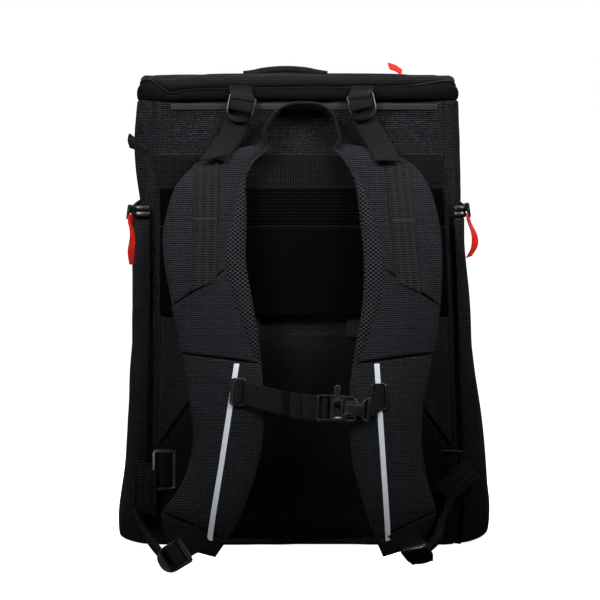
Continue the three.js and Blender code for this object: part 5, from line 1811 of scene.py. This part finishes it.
@dataclass
class ShoulderStrap:
    """One padded strap: mesh lining, four cloth pieces, ladder webbing and a light strip."""

    side: Side
    top: float = 431.0
    tip: float = 13.0
    half: float = 160.0
    reach: float = 112.0
    length: float = 430.0
    front: float = 8.0
    lining: float = 6.0
    seams: tuple[tuple[float, float], ...] = ((0, 0), (0.31, 0.4), (0.538, 0.514), (0.96, 0.92), (1, 1))
    names: tuple[str, ...] = ("upper", "middle", "lower", "end")
    seam_gap: float = 0.0008

    def spine(self, down: np.ndarray) -> np.ndarray:
        """Middle line seen from the side: y and z at shares of the way down."""
        off = FACE - STRAP_ROWS.curve(down, "off") * self.reach
        return np.stack([off, self.top + (self.tip - self.top) * down], -1)

    def border(self, down: np.ndarray, which: str) -> np.ndarray:
        """Distance of the strap's inner or outer edge from the bag's middle."""
        return STRAP_ROWS.curve(down, f"{which}_{self.side.word}") * self.half

    def taper(self, down: np.ndarray) -> np.ndarray:
        """Share of the full thickness at shares of the way down."""
        return np.interp(down, [0, 0.06, 0.9, 1], [0.75, 1, 1, 0.55])

    def point(self, u: np.ndarray, down: np.ndarray, height: np.ndarray) -> np.ndarray:
        """Places on the strap.

        Args:
            u: Share of its width from the inner edge.
            down: Share of the way down.
            height: How far forward of its middle surface, in millimetres.

        Returns:
            Array of places.
        """
        here = self.spine(down)
        along = unit(self.spine(np.minimum(down + 0.02, 1)) - self.spine(np.maximum(down - 0.02, 0)))
        fall = STRAP_ROWS.curve(down, "fall") * self.reach
        inner, outer = self.border(down, "in"), self.border(down, "out")
        x = self.side.value * (inner + (outer - inner) * u)
        y = here[..., 0] + along[..., 1] * height
        z = here[..., 1] - along[..., 0] * height - fall * u
        return np.stack([x, y, z], -1)

    def share(self, x: np.ndarray, down: np.ndarray) -> np.ndarray:
        """Share of the width that lies at a distance x from the bag's middle."""
        inner, outer = self.border(down, "in"), self.border(down, "out")
        return (np.abs(x) - inner) / (outer - inner)

    def crown(self, u: np.ndarray) -> np.ndarray:
        """Share of the full height across the strap, pinched at both edges."""
        return np.clip(1 - np.abs(2 * u - 1) ** 2.5, 0, 1) ** 0.7

    def surface(self, u: np.ndarray, down: np.ndarray) -> np.ndarray:
        """Height of the front cloth."""
        return self.front * (0.12 + 0.88 * self.crown(u)) * self.taper(down)

    def build_lining(self) -> None:
        """Makes the mesh lining, which swells out beside the front cloth."""
        u, down = np.meshgrid(spaced(0, 1, 0.025, 0.05), np.linspace(0, 1, 220))
        share = STRAP_ROWS.curve(down, "mesh")
        bulge = np.sin(np.pi * np.clip(u / np.maximum(share + 0.06, 0.02), 0, 1)) ** 0.6
        top = -CLEAR + 5.0 * bulge * np.clip(share / 0.08, 0, 1)
        under = -self.lining * (0.1 + 0.9 * self.crown(u)) * self.taper(down)
        piece = slab(f"strap_lining_mesh_{self.side.word}", self.point(u, down, top), self.point(u, down, under))
        settle(smooth(piece, 60), SPACER_MESH, [f"strap_lining_{self.side.word}"])
        down = np.linspace(0.03, 0.6, 140)
        line = self.point(STRAP_ROWS.curve(down, "mesh") + 0.004, down, np.full_like(down, 1.2))
        settle(cord(f"strap_piping_{self.side.word}", line, 1.9), PIPING)

    def build_cloths(self) -> None:
        """Makes the four cloth pieces between their slanting seams."""
        cross, drop = (0.195, 0.2)[self.side.column], self.top - self.tip
        for i, word in enumerate(self.names):
            (a_in, a_out), (b_in, b_out) = self.seams[i], self.seams[i + 1]
            rows = max(14, round((b_in - a_in) * 330))
            u, v = np.meshgrid(spaced(0, 1, 0.022, 0.05), spaced(0, 1, 1 / rows, 1.5 / rows))
            above = a_in + (a_out - a_in) * u + (self.seam_gap if i else 0)
            below = b_in + (b_out - b_in) * u - (self.seam_gap if i < 3 else 0)
            down = above + (below - above) * v
            mesh = STRAP_ROWS.curve(down, "mesh")
            share = mesh + (1 - mesh) * u
            ends = rounded(np.minimum(v * (0.4 if i == 0 else 1), 1 - v) * (below - above) * drop, 2.6)
            seam = 0.9 * np.exp(-(((down - cross) * drop / 0.9) ** 2))
            for border in (0.93, 0.07):
                seam += 0.45 * np.exp(-(((u - border) / 0.012) ** 2))
            high = (self.surface(u, down) - CLEAR - seam) * (0.3 + 0.7 * ends) + CLEAR
            front, back = (self.point(share, down, height) for height in (high, np.full_like(high, CLEAR)))
            piece = slab(f"strap_cloth_{word}_{self.side.word}", front, back)
            rumple(piece, (), 34, 0.28, 20 + i)
            settle(smooth(piece, 60), STRAP_CLOTH, [f"strap_{word}_{self.side.word}"])

    def on_cloth(self, x: np.ndarray, down: np.ndarray, lift: float) -> np.ndarray:
        """Places on the front cloth.

        Args:
            x: Distances from the bag's middle.
            down: Shares of the way down.
            lift: How far off the cloth.

        Returns:
            Array of places.
        """
        u = self.share(x, down)
        mesh = STRAP_ROWS.curve(down, "mesh")
        inside = np.clip((u - mesh) / (1 - mesh), 0, 1)
        return self.point(u, down, self.surface(inside, down) + lift)

    def tape(
        self, name: str, xs: tuple[float, float], downs: Callable, width: float, thick: float, rows: int
    ) -> bpy.types.Object:
        """Tape that lies on the front cloth.

        Args:
            name: The piece's name.
            xs: Its middle at the top and at the bottom.
            downs: Shares of the way down from a share of the tape's length and width.
            width: Its width.
            thick: Its thickness.
            rows: Faces along it.

        Returns:
            The object, with a map across and along it.
        """
        w, v = np.meshgrid(spaced(-width / 2, width / 2, width / 12, thick / 2), np.linspace(0, 1, rows + 1))
        x = xs[0] + (xs[1] - xs[0]) * v + w
        down = downs(v, x)
        edge = rounded(width / 2 - np.abs(w), thick / 2)
        top = self.on_cloth(x, down, 0.3 + thick * (0.3 + 0.7 * edge) + 0.12 * np.sin(down * 900 + w))
        piece = slab(name, top, self.on_cloth(x, down, 0.15))
        flat = np.stack([w, down * self.length], -1).reshape(-1, 2)
        return smooth(lay_map(piece, np.tile(flat, (2, 1))), 60)

    def build_tapes(self) -> None:
        """Makes the ladder webbing, the light strip and their stitches."""
        (seam_in, seam_out), column = self.seams[1], self.side.column
        tops, lows = (-100.0, 97.0)[column], (-101.5, 109.0)[column]

        def cut(v: np.ndarray, x: np.ndarray) -> np.ndarray:
            """Shares of the way down, so that the webbing ends along the slanting seam."""
            end = seam_in + (seam_out - seam_in) * np.clip(self.share(x, np.full_like(x, seam_in)), 0, 1) - 0.004
            return 0.036 + (end - 0.036) * v

        daisy = self.tape(f"daisy_webbing_cloth_{self.side.word}", (tops, lows), cut, 25, 1.5, 140)
        settle(daisy, LADDER_WEBBING, [f"daisy_webbing_{self.side.word}"])
        cross = (0.188, 0.193)[column]
        middle = tops + (lows - tops) * (cross / seam_in)
        rows = []
        for down in (cross - 0.002, cross, cross + 0.002):
            xs = np.linspace(middle - 12, middle + 12, 30)
            rows.append(self.on_cloth(xs, np.full_like(xs, down), 2.2))
        settle(stitches(f"bar_tack_{self.side.word}", rows, 1.3, 0.8), THREAD)
        glow_x = ((-68.0, -95.0), (75.5, 86.5))[column]
        light = self.tape(f"light_strip_tape_{self.side.word}", glow_x, lambda v, x: 0.54 + 0.424 * v, 5.4, 0.5, 90)
        settle(light, LIGHT_TAPE, [f"light_strip_{self.side.word}"])

    def build(self) -> None:
        """Makes and dresses the strap."""
        self.build_lining()
        self.build_cloths()
        self.build_tapes()


@dataclass(frozen=True)
class LoadLifter:
    """Tab over the rim, ladder-lock and webbing down to the keeper on the strap."""

    side: Side
    lock: Pose
    run: tuple[Point, ...]
    keeper: tuple[Point, Point]

    def build(self) -> None:
        """Makes and dresses the load lifter."""
        word, x = self.side.word, self.lock.x
        LadderLock(f"ladder_lock_{word}", self.lock).build()
        around = [self.lock.point(0, y, z) for y, z in ((-2.8, 12.4), (-2.6, 9.4), (0.6, 8.6))]
        path = [(x, -129.8, 490.5), (x, -131.0, 485.5), *around]
        tab = Band(f"lifter_tab_webbing_{word}", path, ((1, 0, 0), self.lock.right), 24, 1.7, 30)
        settle(tab.build(), BLACK_WEBBING, [f"lifter_tab_{word}"])
        s = self.side.value
        across = ((0.978, 0, 0.208 * s), (0.93, 0, 0.3 * s), (0.96, 0, 0.2 * s))
        webbing = Band(f"lifter_webbing_cloth_{word}", self.run, across, 24, 1.7, 40)
        settle(webbing.build(), BLACK_WEBBING, [f"lifter_webbing_{word}"])
        a, b = (np.array(p) for p in self.keeper)
        path = [tuple(a + (b - a) * t + (0, -1.2 * math.sin(math.pi * t), 0)) for t in (0, 0.33, 0.66, 1)]
        keeper = Band(f"lifter_keeper_{word}", path, ((0, 0.5, 0.86),) * 2, 4.4, 1.8, 20)
        settle(keeper.build(), BLACK_WEBBING)


LIFTERS = (
    LoadLifter(
        Side.LEFT, Pose(-65.4, -136.6, 466.4, -12, 12),
        (
            (-66.5, -133.4, 460.5), (-69.8, -134.8, 452.0), (-75.8, -139.5, 438.0), (-86.0, -147.0, 424.5),
            (-92.5, -154.0, 414.5),
        ),
        ((-106.5, -156.4, 414.6), (-77.5, -156.0, 421.0)),
    ),
    LoadLifter(
        Side.RIGHT, Pose(62.0, -136.6, 468.4, 12, 12),
        (
            (63.0, -133.4, 462.5), (66.5, -134.8, 452.0), (74.5, -140.0, 438.0), (83.0, -147.0, 424.5),
            (88.5, -154.0, 414.5),
        ),
        ((72.5, -156.0, 415.6), (100.5, -156.4, 414.6)),
    ),
)


@dataclass(frozen=True)
class LowerCorner:
    """Slotted plate, corner webbing, folded webbing, lock and strap end at a lower corner."""

    side: Side
    plate: Pose
    lock: Pose
    tab: tuple[Point, ...]
    tab_across: tuple[Point, Point]
    fold: tuple[Point, ...]
    fold_across: tuple[Point, Point]
    end: tuple[Point, ...]
    end_across: tuple[Point, Point]
    lock_parts: tuple[float, float] = (11.0, 5.0)
    leaves: tuple[Point, ...] = ((0, 0, 9.5), (-1.3, -2.2, 7.0), (-2.5, 1.8, 6.0))

    def build(self) -> None:
        """Makes and dresses the corner."""
        word = self.side.word
        SlottedPlate(f"slotted_plate_{word}", self.plate).build()
        LadderLock(f"lower_lock_{word}", self.lock, 28, 32, 2.8, 4.4, *self.lock_parts).build()
        tab = Band(f"corner_webbing_cloth_{word}", self.tab, self.tab_across, 25, 1.7, 40).build()
        settle(tab, LADDER_WEBBING, [f"corner_webbing_{word}"])
        leaves = []
        for i, (y, z, width) in enumerate(self.leaves):
            path = [(px, py + y, pz + z) for px, py, pz in self.fold]
            leaves.append(Band(f"fold_leaf_{i}", path, self.fold_across, width, 1.5, 60).build())
        folded = fuse(f"folded_webbing_cloth_{word}", *leaves)
        settle(folded, BLACK_WEBBING, [f"folded_webbing_{word}"])
        path = (*self.end, self.lock.point(0, 2.6, 9.0), self.lock.point(0, 3.2, -5.5))
        end = Band(f"end_webbing_cloth_{word}", path, (*self.end_across, self.lock.right), 24, 1.7, 40)
        settle(end.build(), BLACK_WEBBING, [f"end_webbing_{word}"])


CORNERS = (
    LowerCorner(
        side=Side.LEFT,
        plate=Pose(-147.0, -137.0, 83.0),
        lock=Pose(-131.5, -255.5, 16.8, -58, 25),
        tab=((-164.5, -134.5, 92), (-167.5, -140.2, 78), (-168.0, -140.8, 58), (-168.0, -140.8, 38)),
        tab_across=((0.96, 0, -0.28), (1, 0, 0), (0.97, 0, -0.24)),
        fold=(
            (-182.0, -141.5, 41), (-174.3, -160, 32.4), (-162.3, -195, 26.0), (-151.9, -225, 21.0), (-143, -247, 17),
        ),
        fold_across=((0.5, 0.1, 0.85), (0.3, -0.6, 0.75), (0.6, 0.3, 0.7), (0.3, -0.3, 0.9)),
        end=((-101.0, -245.0, 39.0), (-108.5, -246.2, 32.0), (-117.5, -248.0, 27.5), (-123.5, -252.0, 23.5)),
        end_across=((0.6, 0, -0.8), (0.56, -0.1, -0.82)),
    ),
    LowerCorner(
        side=Side.RIGHT,
        plate=Pose(158.0, -135.6, 82.0),
        lock=Pose(116.6, -253.0, 18.5, 23, -48),
        tab=((183.0, -137.6, 87.7), (165.4, -145.5, 73.6), (149.3, -149.8, 60.5)),
        tab_across=((0.55, 0, -0.83), (0.62, 0, -0.78), (0.7, 0, -0.7)),
        fold=((156.5, -149.8, 56), (150.2, -170, 46), (143.0, -200, 38.5), (137.0, -228, 30), (126.5, -246, 24)),
        fold_across=((0.82, 0, -0.57), (0.4, -0.7, -0.5), (0.9, 0.1, -0.4), (0.6, -0.5, -0.5)),
        end=((96.0, -245.2, 42.0), (103.0, -246.4, 34.0), (110.0, -248.2, 28.5), (115.0, -251.5, 24.5)),
        end_across=((0.86, 0, 0.5), (0.86, 0, 0.5)),
        lock_parts=(8.0, 6.5),
    ),
)


@dataclass(frozen=True)
class Trim:
    """A length of webbing or ribbon that stands for one node."""

    node: str
    band: Band
    finish: Webbing
    slot: Slot

    def build(self) -> None:
        """Makes and dresses it."""
        settle(self.band.build(), self.finish, [self.node])


# Width that runs from front to back
DEEP = ((0, 1, 0), (0, 1, 0))
HAUL_LOOP = (
    (-37.0, -136.4, 428.0), (-41.4, -138.6, 438.0), (-38.7, -139.4, 449.9), (-26.2, -139.4, 465.5),
    (-11.5, -139.4, 472.2), (4.1, -139.4, 473.4), (19.8, -139.4, 470.4), (31.3, -139.4, 461.3),
    (36.5, -139.4, 446.7), (38.5, -138.8, 436.0), (35.0, -136.4, 427.0),
)
GRAB_HANDLE = (
    (-66.0, 12.0, 502.0), (-56.0, 12.0, 503.2), (-42.0, 12.0, 506.0), (-19.0, 12.0, 507.6), (3.0, 12.0, 506.2),
    (16.0, 12.0, 503.6), (27.0, 12.0, 502.0),
)
LID_ZIP = ((-104.0, -58.0, 502.6), (-82.4, -58.0, 503.1), (90.4, -58.0, 503.0), (112.0, -58.0, 502.2))
LID_RIBBON = ((106.5, -60.0, 504.6), (100.5, -61.0, 509.0), (92.5, -62.0, 511.8))
RIBBON_LEFT = (
    (-180.6, -119.7, 355.1), (-182.4, -121.0, 346.2), (-179.6, -123.3, 332.6), (-182.0, -123.0, 318.0),
    (-180.6, -122.0, 302.0),
)
RIBBON_RIGHT = (
    (173.8, -118.0, 356.1), (176.4, -119.2, 346.2), (181.5, -121.6, 333.1), (181.6, -122.3, 321.4),
    (175.8, -122.3, 310.0),
)
TURNS = {
    "lid": ((0.1, 0.55, 0.8), (-0.2, 0.5, 0.85)),
    "left": ((1.0, 0.2, 0), (0.5, 0.85, 0), (0.95, -0.3, 0.1), (0.9, 0.4, 0)),
    "right": ((0.5, 0.8, 0), (0.6, 0.8, 0), (1.0, 0.1, 0.1), (0.9, 0.2, 0.3)),
}
TRIMS = (
    Trim("haul_loop", Band("haul_loop_webbing", HAUL_LOOP, DEEP, 21, 2.6, 90), BLACK_WEBBING, Slot.WEBBING),
    Trim("grab_handle", Band("grab_handle_webbing", GRAB_HANDLE, DEEP, 26, 9.6, 50), BLACK_WEBBING, Slot.WEBBING),
    Trim("lid_zip", Band("lid_zip_tape", LID_ZIP, DEEP, 9, 1.2, 60), BLACK_WEBBING, Slot.ZIP),
    Trim("lid_ribbon", Band("lid_ribbon_tape", LID_RIBBON, TURNS["lid"], 8.5, 1.2, 20), RED_TAPE, Slot.RED),
    Trim(
        "zip_ribbon_left",
        Band("zip_ribbon_tape_left", RIBBON_LEFT, TURNS["left"], 8.0, 0.9, 40),
        RED_TAPE,
        Slot.RED,
    ),
    Trim(
        "zip_ribbon_right",
        Band("zip_ribbon_tape_right", RIBBON_RIGHT, TURNS["right"], 7.5, 0.9, 40),
        RED_TAPE,
        Slot.RED,
    ),
)


@dataclass(frozen=True)
class ZipSlider:
    """Cast slider with a bridge and a pull on the pocket's zip."""

    side: Side
    at: Point

    def build(self) -> None:
        """Makes and dresses the slider."""
        word, lean = self.side.word, self.side.value
        body = soften(cutout("slider_base", rounded_outline(5.4, 9.4, (1.6,) * 4), 3.0), 0.6)
        bridge = soften(cutout("slider_bridge", rounded_outline(2.2, 7, (1,) * 4), 1.6, 2.4), 0.4)
        outline = rounded_outline(3.6, 10, (1.6,) * 4, (0.6 * lean, -6.5))
        pull = soften(cutout("slider_pull", outline, 1.2, 3.4), 0.4)
        slider = fuse(f"zip_slider_body_{word}", body, bridge, pull)
        settle(Pose(*self.at, 8 * lean, 6).place(slider), ACETAL, [f"zip_slider_{word}"])


SLIDERS = (ZipSlider(Side.LEFT, (-184.0, -112.0, 360.5)), ZipSlider(Side.RIGHT, (174.4, -112.0, 362.5)))


@dataclass
class Studio:
    """Camera at the photograph's angle, pale floor and soft light.

    The eye is in millimetres. Each lamp has a name, place and size in metres, its power in watts and the height it
    aims at.
    """

    eye: Point = (-3.2, -2317.95, 494.96)
    tilt: float = 6.0
    lens: float = 124.68
    paper: str = "#eeeeee"
    glow: float = 0.95
    horizon: float = 0.02
    zenith: float = 0.35
    beam: float = 41.0
    lamps: tuple[tuple[str, Point, float, float, float], ...] = (
        ("key", (-0.5, -0.75, 1.05), 0.4, 1.5, 0.46),
        ("fill", (0.6, -0.75, 1.0), 0.4, 1.4, 0.46),
        ("top", (0.0, 0.1, 1.5), 1.0, 3.0, 0.46),
        ("low", (-0.6, -1.5, 0.15), 0.5, 0.3, 0.06),
    )

    def build(self) -> None:
        """Makes the camera, the floor and the lights."""
        scene = bpy.context.scene
        camera = bpy.data.cameras.new("camera")
        camera.lens, camera.sensor_width, camera.sensor_fit = self.lens, 36, "HORIZONTAL"
        stand = bpy.data.objects.new("camera", camera)
        stand.location = Vector(self.eye) * MM
        stand.rotation_euler = (math.radians(90 - self.tilt), 0, 0)
        scene.collection.objects.link(stand)
        scene.camera = stand
        bpy.ops.object.select_all(action="DESELECT")
        bpy.ops.mesh.primitive_plane_add(size=60)
        floor = bpy.context.object
        floor.name = "floor"
        tree = Tree("matt_white_paper")
        fibre = tree.add("TexNoise", None, {"Scale": 900.0, "Detail": 3.0}).outputs[0]
        shade = mottled(tree, self.paper, "#ffffff", fibre, 400, 0.2)
        glow = {"Emission Color": (1, 1, 1, 1), "Emission Strength": self.glow}
        paper = tree.surface({"Roughness": 0.9, "Specular IOR Level": 0.0, **glow}, {"Base Color": shade})
        floor.data.materials.append(paper)
        floor.visible_diffuse = floor.visible_glossy = False
        self.build_room(scene)

    def build_room(self, scene: bpy.types.Scene) -> None:
        """Makes the pale room and its soft boxes, brightest from above the front."""
        world = bpy.data.worlds.new("soft_room")
        world.use_nodes = True
        tree = world.node_tree
        seen = tree.nodes["Background"]
        seen.inputs[0].default_value = (1, 1, 1, 1)
        soft = tree.nodes.new("ShaderNodeBackground")
        height = tree.nodes.new("ShaderNodeSeparateXYZ")
        tree.links.new(tree.nodes.new("ShaderNodeTexCoord").outputs["Generated"], height.inputs[0])
        ramp = tree.nodes.new("ShaderNodeMapRange")
        for index, value in ((1, -0.1), (2, 1.0), (3, self.horizon), (4, self.zenith)):
            ramp.inputs[index].default_value = value
        tree.links.new(height.outputs[2], ramp.inputs[0])
        tree.links.new(ramp.outputs[0], soft.inputs[1])
        mix = tree.nodes.new("ShaderNodeMixShader")
        tree.links.new(tree.nodes.new("ShaderNodeLightPath").outputs["Is Camera Ray"], mix.inputs[0])
        tree.links.new(soft.outputs[0], mix.inputs[1])
        tree.links.new(seen.outputs[0], mix.inputs[2])
        tree.links.new(mix.outputs[0], tree.nodes["World Output"].inputs[0])
        scene.world = world
        scene.view_settings.view_transform = "Standard"
        for name, place, size, power, aim_high in self.lamps:
            lamp = bpy.data.lights.new(name, "AREA")
            lamp.size, lamp.energy, lamp.spread = size, power, math.radians(self.beam)
            light = bpy.data.objects.new(name, lamp)
            light.location = place
            aim = Vector((0, -0.1, aim_high)) - Vector(place)
            light.rotation_euler = aim.to_track_quat("-Z", "Y").to_euler()
            scene.collection.objects.link(light)


def main() -> None:
    """Builds and dresses the bag in order."""
    straps = (ShoulderStrap(side) for side in Side)
    harness = (HarnessFace(), *straps, *LIFTERS, ChestStrap(), *CORNERS)
    for assembly in (Studio(), Shell(), LidEdge(), *harness, *SLIDERS, *TRIMS):
        assembly.build()


if __name__ == "__main__":
    logging.basicConfig(level=logging.INFO, format="%(message)s")
    main()
